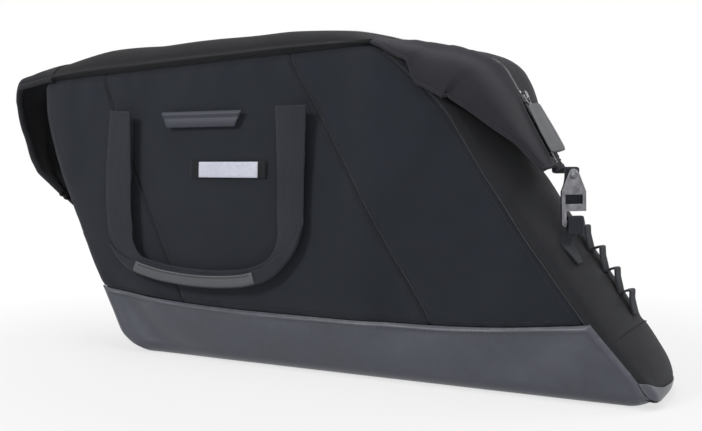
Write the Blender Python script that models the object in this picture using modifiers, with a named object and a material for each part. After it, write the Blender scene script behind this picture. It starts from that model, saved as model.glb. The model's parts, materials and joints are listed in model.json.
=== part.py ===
"""Zip-top saddle bag for the side of a long cargo bicycle.

The bag leans: its side is a four-sided panel with a level base and slanted ends. The origin is the middle of
the base's underside. +X runs along the bag, -Y is the outer side, +Y faces the bicycle, and +Z is up.
"""
import math

import bmesh
import bpy
import numpy as np
from mathutils import Matrix, Vector

# Driving dimensions, in metres
HALF_DEPTH = 0.070            # half the bag's depth, from seam to seam
PANEL = 0.003                 # thickness of a padded fabric panel
SEAM = 0.0003                 # half the gap where two sewn pieces meet
LAYER = 0.0004                # gap between layers that lie on each other
CROWN = 0.014                 # how far the outer side swells at its middle
LEFT_EDGE = ((0.0, -0.280), (0.007, -0.297), (0.013, -0.309), (0.020, -0.320), (0.200, -0.4080),
             (0.235, -0.4240), (0.262, -0.4335), (0.290, -0.4390), (0.345, -0.441))
RIGHT_EDGE = ((0.0, 0.316), (0.026, 0.300), (0.0745, 0.256), (0.151, 0.197), (0.222, 0.148),
              (0.278, 0.112), (0.306, 0.085), (0.330, 0.055), (0.3495, 0.025))
BACK_RECEDE = ((0.0, 0.034), (0.014, 0.022), (0.030, 0.014), (0.050, 0.008), (0.080, 0.003),
               (0.150, 0.0))          # how much shorter the back is at the right end
TOP_START = Vector((-0.441, 0.0, 0.3295))     # left end of the top seam
TOP_END = Vector((0.025, 0.0, 0.3497))        # right end of the top seam
LEFT_SEAM = ((0.0648, -0.221), (0.3336, -0.346))
SLANT_SEAM = ((0.0625, 0.0945), (0.3451, -0.081))

BOOT_SEAM_Z = 0.0615          # height of the boot's front seam at its lowest
BOOT_SEAM_LIFT = 0.013        # how far that seam rises at the ends
BOOT_MIDDLE_X = -0.040
BOOT_HALF_LENGTH = 0.295
BOOT_RADIUS = 0.014
BOOT_BACK_Z = 0.070

FLAP_LEFT_X = -0.430
FLAP_RIGHT_X = 0.0245
FLAP_RISE = ((-0.430, 0.0200), (-0.385, 0.0290), (-0.330, 0.0315), (-0.250, 0.0300), (-0.100, 0.0265),
             (-0.020, 0.0210), (0.0245, 0.0145))      # height of the zip above the flaps' seams
FLAP_CLEAR = 0.003            # gap between a top seam and the flap that folds on it
ZIP_HALF = 0.0045             # from the middle of the zip to a flap's edge
TEETH = (0.0038, 0.0024)      # width and height of one row of zip teeth

HANDLE_LEFT_X = -0.305
HANDLE_RIGHT_X = -0.063
HANDLE_AXIS = Vector((-0.184, -0.0868, 0.284))
HANDLE_Y = -0.0880            # inner face of the hanging strap
WEBBING = 0.038               # width of the handle's webbing
WEBBING_THICK = 0.0025

HOOK_LENGTH = 0.056
HOOK_HALF = 0.0135
HOOK_THICK = 0.0025
HOOK_RIVET = 0.006            # from the hook's top end to its rivet
LOOP_PITCH = 0.0245           # spacing of the daisy chain's loops
LOOP_HEIGHT = 0.009
LOOP_COUNT = 4
NARROW_WEBBING = 0.020

RACK_TUBE_Z = 0.320           # height of the rack's tube in the hooks
RACK_TUBE_RADIUS = 0.008
RACK_HOOK_X = (-0.295, -0.035)
RIVET_RADIUS = 0.0022
CATCH_CENTRE = Vector((-0.080, HALF_DEPTH, 0.130))
BAG_MIDDLE = Vector((-0.100, 0.0, 0.170))

ACROSS = Vector((0.0, 1.0, 0.0))


# Scene and materials
for old in list(bpy.data.objects):
    bpy.data.objects.remove(old, do_unlink=True)
BAG = bpy.data.collections.new("saddle_bag")
CUTTERS = bpy.data.collections.new("cutters")
bpy.context.scene.collection.children.link(BAG)
bpy.context.scene.collection.children.link(CUTTERS)


def finish(name, colour, roughness, metallic=0.0):
    """A plain material for one sub-part."""
    made = bpy.data.materials.new(name)
    made.use_nodes = True
    shader = made.node_tree.nodes["Principled BSDF"]
    shader.inputs["Base Color"].default_value = (*colour, 1.0)
    shader.inputs["Roughness"].default_value = roughness
    shader.inputs["Metallic"].default_value = metallic
    return made


CLOTH = ((0.026, 0.028, 0.034), 0.85)
COATED = ((0.075, 0.078, 0.090), 0.45)
STRAP = ((0.034, 0.035, 0.040), 0.80)
WRAP = ((0.120, 0.120, 0.126), 0.60)
PALE = ((0.650, 0.680, 0.750), 0.35)
PLASTIC = ((0.020, 0.020, 0.022), 0.50)
METAL = ((0.480, 0.485, 0.500), 0.35, 1.0)


def keep(obj, look):
    """Puts a finished sub-part in the bag's collection with its own material."""
    for home in list(obj.users_collection):
        home.objects.unlink(obj)
    BAG.objects.link(obj)
    obj.data.materials.clear()
    obj.data.materials.append(finish(obj.name, *look))
    return obj


def empty(name, place):
    """An empty on a joint's axis, which carries the pieces that move there."""
    made = bpy.data.objects.new(name, None)
    made.location = place
    BAG.objects.link(made)
    return made


def carry(axis, *objects):
    """Parents the moving pieces to the empty on their joint's axis, where they are."""
    bpy.context.view_layer.update()
    for obj in objects:
        obj.parent = axis
        obj.matrix_parent_inverse = axis.matrix_world.inverted()


# Curves and outlines
def along(points, share):
    """A point on the smooth curve through the points, at a share of its chord length."""
    points = np.array(points, dtype=float)
    reach = np.concatenate(([0.0], np.cumsum(np.linalg.norm(np.diff(points, axis=0), axis=1))))
    slope = np.gradient(points, reach, axis=0, edge_order=1)
    at = min(max(share, 0.0), 1.0) * reach[-1]
    k = min(int(np.searchsorted(reach, at, side="right")) - 1, len(points) - 2)
    span = reach[k + 1] - reach[k]
    t = (at - reach[k]) / span
    start = (1 + 2 * t) * (1 - t) ** 2 * points[k] + t * (1 - t) ** 2 * span * slope[k]
    end = t * t * (3 - 2 * t) * points[k + 1] - t * t * (1 - t) * span * slope[k + 1]
    return Vector(start + end)


def heading(points, share, step=0.004):
    """The direction of that curve."""
    ahead = along(points, min(share + step, 1.0))
    behind = along(points, max(share - step, 0.0))
    return (ahead - behind).normalized()


def table(pairs, value):
    """Straight-line reading of a short table of (value, result) pairs."""
    return float(np.interp(value, [pair[0] for pair in pairs], [pair[1] for pair in pairs]))


def sheet(name, shape, columns, rows, thickness, look, side=-1.0):
    """A fabric sheet: a grid laid on shape(u, v), thickened against its normal, or along it for side 1."""
    mesh = bpy.data.meshes.new(name)
    grid = bmesh.new()
    bmesh.ops.create_grid(grid, x_segments=columns, y_segments=rows, size=0.5)
    for vertex in grid.verts:
        vertex.co = shape(vertex.co.x + 0.5, vertex.co.y + 0.5)
    grid.to_mesh(mesh)
    grid.free()
    obj = bpy.data.objects.new(name, mesh)
    thick = obj.modifiers.new("thickness", "SOLIDIFY")
    thick.thickness = thickness
    thick.offset = side
    thick.use_even_offset = True
    return keep(obj, look)


def plate(name, outline, thickness, place, look, holes=()):
    """A flat outline, with any holes, given its thickness about the place's own XY plane."""
    curve = bpy.data.curves.new(name, "CURVE")
    curve.dimensions = "2D"
    curve.fill_mode = "BOTH"
    curve.extrude = thickness / 2
    for ring in (outline, *holes):
        spline = curve.splines.new("POLY")
        spline.points.add(len(ring) - 1)
        for point, (x, y) in zip(spline.points, ring):
            point.co = (x, y, 0.0, 1.0)
        spline.use_cyclic_u = True
    drawn = bpy.data.objects.new(name + "_outline", curve)
    BAG.objects.link(drawn)
    bpy.context.view_layer.update()
    ready = drawn.evaluated_get(bpy.context.evaluated_depsgraph_get())
    mesh = bpy.data.meshes.new_from_object(ready)
    bpy.data.objects.remove(drawn, do_unlink=True)
    solid = bmesh.new()
    solid.from_mesh(mesh)
    bmesh.ops.remove_doubles(solid, verts=solid.verts, dist=0.000001)
    solid.to_mesh(mesh)
    solid.free()
    obj = bpy.data.objects.new(name, mesh)
    obj.matrix_world = place
    return keep(obj, look)


def block(name, size, place, look, bevel=0.0):
    """A box with rounded edges, centred on its place."""
    mesh = bpy.data.meshes.new(name)
    solid = bmesh.new()
    bmesh.ops.create_cube(solid, size=1.0, matrix=Matrix.Diagonal((*size, 1.0)))
    solid.to_mesh(mesh)
    solid.free()
    obj = bpy.data.objects.new(name, mesh)
    obj.matrix_world = place
    if bevel:
        rounded = obj.modifiers.new("rounded", "BEVEL")
        rounded.width = bevel
        rounded.segments = 2
    return keep(obj, look)


def turned(name, profile, place, look, steps=12):
    """A turned piece: (radius, height) pairs from top to bottom, spun about the place's Z axis."""
    mesh = bpy.data.meshes.new(name)
    line = bmesh.new()
    points = [line.verts.new((radius, 0.0, height)) for radius, height in profile]
    for first, second in zip(points, points[1:]):
        line.edges.new((first, second))
    line.to_mesh(mesh)
    line.free()
    obj = bpy.data.objects.new(name, mesh)
    obj.matrix_world = place
    spin = obj.modifiers.new("turned", "SCREW")
    spin.steps = steps
    spin.render_steps = steps
    spin.use_merge_vertices = True
    spin.merge_threshold = 0.00001
    obj = keep(obj, look)
    obj.data.shade_smooth()
    return obj


def cut(obj, *tools):
    """Takes the cutters' shapes out of a sub-part."""
    for tool in tools:
        hollow = obj.modifiers.new("cut", "BOOLEAN")
        hollow.operation = "DIFFERENCE"
        hollow.solver = "EXACT"
        hollow.object = tool


def cutter(obj):
    """Keeps a piece as a cutter only."""
    BAG.objects.unlink(obj)
    CUTTERS.objects.link(obj)
    obj.hide_render = True
    obj.display_type = "WIRE"
    return obj


def drill(name, radius, length, place):
    """A round cutter about the place's Z axis."""
    return cutter(turned(name, ((0.0, length / 2), (radius, length / 2), (radius, -length / 2),
                                (0.0, -length / 2)), place, PLASTIC, 12))


def frame_at(place, x_axis, y_axis, z_axis):
    """A placing matrix from a point and three unit axes."""
    return Matrix.Translation(place) @ Matrix((x_axis, y_axis, z_axis)).transposed().to_4x4()


def arc(centre, radius, start, end, count):
    """Points on a circle's arc, angles in degrees."""
    turns = [math.radians(start + (end - start) * k / count) for k in range(count + 1)]
    return [(centre[0] + radius * math.cos(t), centre[1] + radius * math.sin(t)) for t in turns]


# The bag's own surfaces
def left_x(z):
    return table(LEFT_EDGE, z)


def right_x(z):
    return table(RIGHT_EDGE, z)


def right_end(z, y):
    """The right end's line, which leans back towards the bicycle near the base."""
    share = max(1 + y / HALF_DEPTH, 0.0) / 2
    return right_x(z) - table(BACK_RECEDE, z) * share


def top_z(x):
    share = (x - TOP_START.x) / (TOP_END.x - TOP_START.x)
    return TOP_START.z + (TOP_END.z - TOP_START.z) * share


def boot_z(x):
    return BOOT_SEAM_Z + BOOT_SEAM_LIFT * abs((x - BOOT_MIDDLE_X) / BOOT_HALF_LENGTH) ** 3


def front_y(x, z):
    """The outer side: flat at its seams and swelling towards its middle."""
    s = (x - left_x(z)) / (right_x(z) - left_x(z))
    t = z / top_z(x)
    return -HALF_DEPTH - CROWN * max(4 * s * (1 - s), 0.0) * max(4 * t * (1 - t), 0.0)


def patch(low, high, left, right):
    """A four-sided patch (x, z) between a low and a high line z(x) and two side lines x(z)."""
    def ends(line, floor):
        x = line(floor(line(0.2)))
        for _ in range(8):
            x = line(floor(x))
        return x

    low_left, low_right = ends(left, low), ends(right, low)
    high_left, high_right = ends(left, high), ends(right, high)

    def side(line, x_low, x_high, v):
        z = low(x_low) + (high(x_high) - low(x_low)) * v
        return Vector((line(z), z))

    def at(u, v):
        x_low = low_left + (low_right - low_left) * u
        x_high = high_left + (high_right - high_left) * u
        base, crest = Vector((x_low, low(x_low))), Vector((x_high, high(x_high)))
        near, far = side(left, low_left, high_left, v), side(right, low_right, high_right, v)
        corners = [Vector((x, line(x))) for x, line in
                   ((low_left, low), (low_right, low), (high_left, high), (high_right, high))]
        flat = (corners[0] * (1 - u) + corners[1] * u) * (1 - v) + (corners[2] * (1 - u) + corners[3] * u) * v
        return base * (1 - v) + crest * v + near * (1 - u) + far * u - flat

    return at


def front_panel(name, left, right, columns):
    """One sewn piece of the outer side, between two side lines, above the boot."""
    place = patch(lambda x: boot_z(x) + SEAM, lambda x: top_z(x) - SEAM, left, right)

    def shape(u, v):
        x, z = place(u, v)
        return Vector((x, front_y(x, z), z))

    return sheet(name, shape, columns, 10, PANEL, CLOTH)


def left_seam(z):
    (low, x_low), (high, x_high) = LEFT_SEAM
    return x_low + (x_high - x_low) * (z - low) / (high - low)


def slant_seam(z):
    (low, x_low), (high, x_high) = SLANT_SEAM
    return x_low + (x_high - x_low) * (z - low) / (high - low)


front_panel("front_panel_left", left_x, lambda z: left_seam(z) - SEAM, 5)
front_panel("front_panel_middle", lambda z: left_seam(z) + SEAM, lambda z: slant_seam(z) - SEAM, 10)
front_panel("front_panel_right", lambda z: slant_seam(z) + SEAM, right_x, 7)


# Boot: front band, underside and back band
BASE_GAP = 0.0016             # where the underside meets the bands
BOOT_TURN = 0.62              # share of a band's height above its turn under the bag
boot_flat = patch(lambda x: BOOT_RADIUS, lambda x: boot_z(x) - SEAM, left_x, right_x)


def boot_turn(u, v, hand):
    """Where a band turns under the bag, on the side given by hand: how far it has turned, and its point."""
    lead = math.radians(90) * (v - BOOT_TURN) / (1 - BOOT_TURN)
    z = BOOT_RADIUS * (1 - math.sin(lead))
    y = hand * (HALF_DEPTH - BOOT_RADIUS * (1 - math.cos(lead)))
    end = right_end(z + PANEL * math.sin(lead), y)
    return lead, Vector((left_x(z) + (end - left_x(z)) * u, y, z))


def boot_front(u, v):
    """The front band, from its seam down and round under the front edge."""
    if v < BOOT_TURN:
        x, z = boot_flat(u, 1 - v / BOOT_TURN)
        return Vector((x, front_y(x, z), z))
    lead, point = boot_turn(u, v, -1.0)
    swell = front_y(point.x, BOOT_RADIUS) + HALF_DEPTH
    return point + Vector((0.0, swell * math.cos(lead), 0.0))


def boot_back(u, v):
    """The back band, flat, and round under the back edge."""
    if v < BOOT_TURN:
        z = BOOT_BACK_Z - SEAM + (BOOT_RADIUS - BOOT_BACK_Z + SEAM) * v / BOOT_TURN
        end = right_end(z, HALF_DEPTH)
        return Vector((left_x(z) + (end - left_x(z)) * u, HALF_DEPTH, z))
    return boot_turn(u, v, 1.0)[1]


BASE_LEFT = ((0.0, -0.304, 0.0095), (0.25, -0.280, 0.0))     # share, x and z of the underside's turned-up end


def base_shape(u, v):
    """The underside, between the two bands: flat, and turned up a little at its left end."""
    y = (HALF_DEPTH - BOOT_RADIUS - BASE_GAP) * (1 - 2 * v)
    shares, xs, zs = zip(*BASE_LEFT)
    x = np.interp(u, (*shares, 1.0), (*xs, right_end(PANEL, y)))
    return Vector((x, y, np.interp(u, (*shares, 1.0), (*zs, 0.0))))


sheet("boot_front", boot_front, 18, 8, PANEL, COATED, side=1.0)
sheet("boot_back", boot_back, 6, 8, PANEL, COATED)
sheet("base_panel", base_shape, 4, 2, PANEL, COATED)
BOARD_THICK = 0.0026
BASE_INSET = 0.022
base_left = left_x(0.0) + BASE_INSET
base_right = right_end(0.0, HALF_DEPTH) - BASE_INSET
block("base_board", (base_right - base_left, 2 * (HALF_DEPTH - BASE_INSET), BOARD_THICK),
      Matrix.Translation(((base_left + base_right) / 2, 0.0, PANEL + LAYER + BOARD_THICK / 2)), PLASTIC)


# Back panel and its stiff board
def back_shape(place, y):
    def shape(u, v):
        x, z = place(u, v)
        return Vector((x, y, z))
    return shape


def right_back_x(z):
    return right_end(z, HALF_DEPTH)


BOARD_INSET = 0.030
BOARD_LOW = 0.030
back_panel = sheet("back_panel", back_shape(
    patch(lambda x: BOOT_BACK_Z + SEAM, lambda x: top_z(x) - SEAM, left_x, right_back_x), HALF_DEPTH),
    5, 6, PANEL, CLOTH, side=1.0)
back_board = sheet("back_board", back_shape(
    patch(lambda x: BOARD_LOW, lambda x: top_z(x) - BOARD_INSET, lambda z: left_x(z) + BOARD_INSET,
          lambda z: right_back_x(z) - BOARD_INSET), HALF_DEPTH - PANEL - LAYER),
    4, 5, BOARD_THICK, PLASTIC, side=1.0)


# End gussets, which swell between the front and back seams
RIGHT_SWELL = ((0.0, 0.0), (0.02, 0.006), (0.07, 0.015), (0.12, 0.023), (0.20, 0.023), (0.28, 0.013),
               (0.31, 0.008), (0.34, 0.004))
LEFT_SWELL = ((0.0, 0.0), (0.03, 0.006), (0.10, 0.014), (0.18, 0.024), (0.26, 0.020), (0.34, 0.010))
RIGHT_ROWS = (0.0035, 0.014, 0.030, 0.050, 0.080, 0.100, 0.125, 0.150, 0.185, 0.222, 0.250, 0.278,
              0.306, 0.330, 0.340)
LEFT_ROWS = (0.012, 0.020, 0.045, 0.075, 0.105, 0.135, 0.165, 0.200, 0.235, 0.262, 0.290, 0.318)
GUSSET_OFF = 0.0012               # gap between a gusset and the panels' ends
LEFT_PINCH = 0.55                 # how much of the left swell the fold at the middle takes back
PINCH_WIDTH = 0.35                # that fold's width, as a share of the half depth
EDGE_STEP = 0.006                 # over which an end's slope is measured


def edge_frame(line, z, outward):
    """A point on a slanted end, and the direction out of the bag there."""
    run = Vector((line(z + EDGE_STEP) - line(z - EDGE_STEP), 0.0, 2 * EDGE_STEP)).normalized()
    return Vector((line(z), 0.0, z)), Vector((run.z, 0.0, -run.x)) * outward


def right_gusset_point(z, y, lift=0.0):
    """A point on the right gusset's inner face, lifted along its normal."""
    base, out = edge_frame(lambda height: right_end(height, y), z, 1.0)
    share = 1 - (y / HALF_DEPTH) ** 2
    return base + out * (GUSSET_OFF + table(RIGHT_SWELL, z) * share + lift) + ACROSS * y


def left_gusset_point(z, y, lift=0.0):
    """The same on the left gusset, which folds in along its middle."""
    base, out = edge_frame(left_x, z, -1.0)
    w = y / HALF_DEPTH
    share = (1 - w * w) * (1 - LEFT_PINCH * math.exp(-(w / PINCH_WIDTH) ** 2)) / (1 - LEFT_PINCH / 2)
    return base + out * (GUSSET_OFF + table(LEFT_SWELL, z) * share + lift) + ACROSS * y


def gusset(name, point, heights, side):
    """A gusset's rows lie at the given heights, where the ends of the panels bend."""
    def shape(u, v):
        z = float(np.interp(v * (len(heights) - 1), range(len(heights)), heights))
        return point(z, (HALF_DEPTH - SEAM) * (2 * u - 1))
    return sheet(name, shape, 12, len(heights) - 1, PANEL, CLOTH, side=side)


gusset("end_gusset_right", right_gusset_point, RIGHT_ROWS, 1.0)
gusset("end_gusset_left", left_gusset_point, LEFT_ROWS, -1.0)


# Zip top: two flaps that fold back on the top seams, with a row of teeth each
FLAP_COLUMNS = 14


def crest_z(x):
    """Height of the zip along the top."""
    return top_z(x) + FLAP_CLEAR + table(FLAP_RISE, x)


def flap_shape(hand):
    """A flap rises from its seam like a quarter of an ellipse; hand -1 is the front flap."""
    def shape(u, v):
        x = FLAP_LEFT_X + (FLAP_RIGHT_X - FLAP_LEFT_X) * u
        turn = math.radians(90) * v
        y = ZIP_HALF + (HALF_DEPTH - ZIP_HALF) * math.cos(turn)
        foot = top_z(x) + FLAP_CLEAR
        return Vector((x, hand * y, foot + (crest_z(x) - foot) * math.sin(turn)))
    return shape


def teeth_shape(hand):
    """A row of teeth along a flap's free edge, level with its top."""
    def shape(u, v):
        x = FLAP_LEFT_X + (FLAP_RIGHT_X - FLAP_LEFT_X) * u
        return Vector((x, hand * (LAYER + TEETH[0] * v), crest_z(x)))
    return shape


FLAPS = (("front", -1.0), ("back", 1.0))
flap_middle = (FLAP_LEFT_X + FLAP_RIGHT_X) / 2
for side_name, hand in FLAPS:
    hinge = empty("flap_hinge_" + side_name,
                  (flap_middle, hand * (HALF_DEPTH - PANEL / 2), top_z(flap_middle) + FLAP_CLEAR))
    flap = sheet("top_flap_" + side_name, flap_shape(hand), FLAP_COLUMNS, 8, PANEL, CLOTH, side=hand)
    teeth = sheet("zip_teeth_" + side_name, teeth_shape(hand), FLAP_COLUMNS, 1, TEETH[1], PLASTIC, side=-hand)
    carry(hinge, flap, teeth)


# Tails of the zip top, folded down over the ends
RIGHT_TAIL = ((0.0258, 0.0, 0.3662), (0.038, 0.0, 0.3658), (0.066, 0.0, 0.3575), (0.090, 0.0, 0.3525),
              (0.113, 0.0, 0.3445), (0.132, 0.0008, 0.3325), (0.1435, -0.0005, 0.3195),
              (0.1475, -0.0022, 0.3135), (0.2085, -0.0275, 0.2215))
RIGHT_TAIL_HALF = ((0.0, 0.070), (0.03, 0.0765), (0.42, 0.0775), (0.55, 0.070), (0.75, 0.054), (1.0, 0.026))
RIGHT_TAIL_DROP = ((0.0, 0.010), (0.04, 0.012), (0.10, 0.028), (0.25, 0.044), (0.42, 0.048), (0.55, 0.040),
                   (0.70, 0.026), (0.85, 0.012), (1.0, 0.006))
LEFT_TAIL = ((-0.4312, 0.0, 0.3505), (-0.446, 0.0, 0.3500), (-0.472, 0.0, 0.3445), (-0.496, 0.0, 0.333),
             (-0.509, 0.0, 0.310), (-0.509, 0.0, 0.280), (-0.501, -0.005, 0.246), (-0.481, -0.012, 0.212),
             (-0.452, -0.020, 0.183))
LEFT_TAIL_HALF = ((0.0, 0.070), (0.25, 0.068), (0.5, 0.057), (0.66, 0.046), (0.83, 0.040), (1.0, 0.019))
LEFT_TAIL_DROP = ((0.0, 0.020), (0.2, 0.018), (0.42, 0.012), (0.83, 0.006), (1.0, 0.004))


def tail_frame(path, share):
    """Centre, run, way across and way out of a tail, where it has gone a share of its length."""
    centre = along(path, share)
    run = heading(path, share)
    across = (ACROSS - run * ACROSS.dot(run)).normalized()
    out = run.cross(across)
    return centre, run, across, out if out.dot(centre - BAG_MIDDLE) > 0 else -out


def tail_shape(path, half, drop):
    """A tail's section is a flat-topped arch, level from side to side."""
    def shape(u, v):
        centre, _, _, out = tail_frame(path, u)
        turn = math.radians(180) * (v - 0.5)
        wide = math.copysign(abs(math.sin(turn)) ** 0.5, turn) * table(half, u)
        fall = (1 - max(math.cos(turn), 0.0) ** 0.5) * table(drop, u)
        return centre + ACROSS * wide - out * fall
    return shape


def tail_zip(path, start, end):
    """The closed zip along the middle of a tail, just proud of the cloth."""
    def shape(u, v):
        centre, _, across, out = tail_frame(path, start + (end - start) * u)
        return centre + across * CHAIN_HALF * (2 * v - 1) + out * CHAIN_OFF
    return shape


CHAIN_HALF = 0.003
CHAIN_OFF = 0.0004
CHAIN_THICK = 0.002
CHAIN_SHARES = (0.006, 0.985)
sheet("zip_tail_right", tail_shape(RIGHT_TAIL, RIGHT_TAIL_HALF, RIGHT_TAIL_DROP), 16, 10, PANEL, CLOTH)
sheet("zip_tail_left", tail_shape(LEFT_TAIL, LEFT_TAIL_HALF, LEFT_TAIL_DROP), 14, 10, PANEL, CLOTH, side=1.0)
sheet("zip_chain_right", tail_zip(RIGHT_TAIL, *CHAIN_SHARES), 24, 1, CHAIN_THICK, PLASTIC, side=1.0)
sheet("zip_chain_left", tail_zip(LEFT_TAIL, *CHAIN_SHARES), 18, 1, CHAIN_THICK, PLASTIC)


# Zip slider, wire link and pull, on the straight run of the right tail
SLIDER_SHARE = 0.665
SLIDER_LENGTH = 0.014
SLIDER_HALF = 0.0052
SLIDER_WALL = 0.0016
SLIDER_FOOT = 0.0008          # height of the slider's open side above the cloth
BRIDGE_HALF = 0.0055
BRIDGE_RISE = 0.0040
BRIDGE_WIRE = 0.0014
BRIDGE_WIDTH = 0.0036
PULL_LENGTH = 0.060
PULL_WIDTH = 0.017
PULL_THICK = 0.0035
PULL_ROUND = 0.0012
PULL_TWIST = math.radians(36)  # how far the hanging pull has turned to face the outer side
PULL_STAND = 0.0030           # how far its middle stands off the link's plane
LINK_WIRE = 0.0009
LINK_HALF = 0.0040
LINK_LENGTH = 0.011
slider_centre, slider_run, slider_across, slider_out = tail_frame(RIGHT_TAIL, SLIDER_SHARE)
channel_inner = SLIDER_HALF - SLIDER_WALL
channel_roof = CHAIN_OFF + CHAIN_THICK + LAYER
slider_top = channel_roof + SLIDER_WALL
slider_section = ((-SLIDER_HALF, SLIDER_FOOT), (-channel_inner, SLIDER_FOOT), (-channel_inner, channel_roof),
                  (channel_inner, channel_roof), (channel_inner, SLIDER_FOOT), (SLIDER_HALF, SLIDER_FOOT),
                  (SLIDER_HALF, slider_top), (-SLIDER_HALF, slider_top))
slider = plate("zip_slider", slider_section, SLIDER_LENGTH,
               frame_at(slider_centre, slider_across, slider_out, slider_run), METAL)
bridge_foot = slider_top + LAYER
bridge_roof = bridge_foot + BRIDGE_RISE
bridge_inner = BRIDGE_HALF - 2 * BRIDGE_WIRE
bridge_under = bridge_roof - BRIDGE_WIRE
bridge_section = ((-BRIDGE_HALF, bridge_foot), (-bridge_inner, bridge_foot), (-bridge_inner, bridge_under),
                  (bridge_inner, bridge_under), (bridge_inner, bridge_foot), (BRIDGE_HALF, bridge_foot),
                  (BRIDGE_HALF - BRIDGE_WIRE, bridge_roof), (BRIDGE_WIRE - BRIDGE_HALF, bridge_roof))
slider_bridge = plate("slider_bridge", bridge_section, BRIDGE_WIDTH,
                      frame_at(slider_centre, slider_run, slider_out, -slider_across), METAL)
link_centre = slider_centre + slider_out * (bridge_foot + LINK_WIRE + LAYER)
link = bpy.data.curves.new("pull_link", "CURVE")
link.dimensions = "3D"
link.bevel_depth = LINK_WIRE
link.bevel_resolution = 2
ring = link.splines.new("POLY")
ring.points.add(3)
ring_corners = ((0.0, -LINK_HALF), (0.0, LINK_HALF), (LINK_LENGTH, LINK_HALF), (LINK_LENGTH, -LINK_HALF))
for point, (ahead, aside) in zip(ring.points, ring_corners):
    point.co = (*(link_centre + slider_run * ahead + slider_across * aside), 1.0)
ring.use_cyclic_u = True
pull_link = keep(bpy.data.objects.new("pull_link", link), METAL)
pull_reach = LINK_LENGTH + LINK_WIRE + 2 * LAYER + PULL_LENGTH / 2
pull_centre = link_centre + slider_run * pull_reach + slider_out * PULL_STAND
pull_wide = slider_across * math.cos(PULL_TWIST) + slider_out * math.sin(PULL_TWIST)
pull_face = slider_out * math.cos(PULL_TWIST) - slider_across * math.sin(PULL_TWIST)
zip_pull = block("zip_pull", (PULL_LENGTH, PULL_WIDTH, PULL_THICK),
                 frame_at(pull_centre, slider_run, pull_wide, pull_face), WRAP, PULL_ROUND)
carry(empty("slider_axis", slider_centre), slider, slider_bridge)
carry(empty("pull_axis", link_centre), pull_link, zip_pull)


# Side hooks at the tails' ends, the loops that they catch, and the daisy chains
HOOK_TONGUE = 0.006           # radius of the hook's round top
HOOK_SHOULDER = 0.022         # from the hook's top end down to its full width
HOOK_SLOT = (0.041, 0.0495)   # where the slot above the finger starts and ends
HOOK_LEG = 0.005              # width of the leg that carries the finger
HOOK_TIP = 0.002              # chamfers at the finger's corners
HOOK_WINDOW = ((-0.0095, 0.025), (0.0095, 0.025), (0.0095, 0.034), (-0.0095, 0.034))
HOOK_FACE = HOOK_THICK / 2 + LAYER
HEAD_RADIUS = 0.0042          # of a rivet's head
HEAD_HEIGHT = 0.0014
BORE = RIVET_RADIUS + LAYER   # radius of the hole that a rivet turns in
DRILL_LENGTH = 0.060
TAB_WEB = 0.0022              # thickness of the end tab's webbing
TAB_HALF = (0.012, 0.008)     # half the tab's width at the tail and at the hook
LOOP_WEB = 0.0014             # thickness of the loops' narrow webbing
LOOP_HALF = 0.0085            # half the width of the loop that the finger catches
LOOP_SIDE = 0.0015            # how far that loop sits towards the finger's tip
LOOP_GAP = 0.0016             # between that loop and the hook's faces
LOOP_REACH = (-0.0040, 0.010)     # how far that loop goes above and below the middle of the finger
LOOP_TWIST = 1.8              # how early along that loop's leg it has turned to face the hook
LOOP_OFF = 0.0012             # from a gusset to the webbing sewn on it


def hook_outline():
    """A plate with a round tongue, and a lower finger that opens on one side."""
    half, length = HOOK_HALF, HOOK_LENGTH
    tongue = [(x, HOOK_RIVET + y) for x, y in arc((0.0, 0.0), HOOK_TONGUE, 200, 340, 6)]
    leg = HOOK_LEG - half
    frame = [(half, HOOK_SHOULDER), (half, HOOK_SLOT[0]), (leg, HOOK_SLOT[0]), (leg, HOOK_SLOT[1]),
             (half - HOOK_TIP, HOOK_SLOT[1]), (half - HOOK_TIP / 2, length - HOOK_TIP),
             (half - 2 * HOOK_TIP, length), (HOOK_TIP - half, length), (-half, length - HOOK_TIP),
             (-half, HOOK_SHOULDER)]
    return tongue + frame


def rivet_profile(outer, inner, head=HEAD_RADIUS):
    """A rivet between two faces: domed head above the outer face, flat head below the inner face."""
    crown = outer + HEAD_HEIGHT
    foot = inner - HEAD_HEIGHT
    return ((0.0, crown + HEAD_HEIGHT / 8), (0.7 * head, crown), (head, outer), (RIVET_RADIUS, outer),
            (RIVET_RADIUS, inner), (head, inner), (head, foot), (0.0, foot))


def level_with(wide):
    """The way straight across the bag, on the same hand as a hook's width."""
    return ACROSS if ACROSS.dot(wide) > 0 else -ACROSS


def hook_loop(name, finger, run, wide, out, ground, foot):
    """The loop round the hook's finger: a U in the plane of run and out, on a leg sewn to the gusset."""
    gap = HOOK_THICK / 2 + LOOP_GAP
    place = finger + wide * LOOP_SIDE
    turn = arc((0.0, LOOP_REACH[0]), gap, 180, 360, 6)
    low = LOOP_REACH[1]
    sewn = [ground(z, place.y, PANEL + LOOP_OFF + LOOP_WEB) for z in foot]
    round_finger = [place + out * n + run * d
                    for n, d in ((-gap, low / 2), *turn, (gap, low / 4), (gap, low))]
    level = level_with(wide)

    def shape(u, v):
        side = level.lerp(wide, min(LOOP_TWIST * u, 1.0)).normalized()
        return along(sewn + round_finger, u) + side * LOOP_HALF * (2 * v - 1)

    return sheet(name, shape, 32, 1, LOOP_WEB, STRAP)


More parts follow.
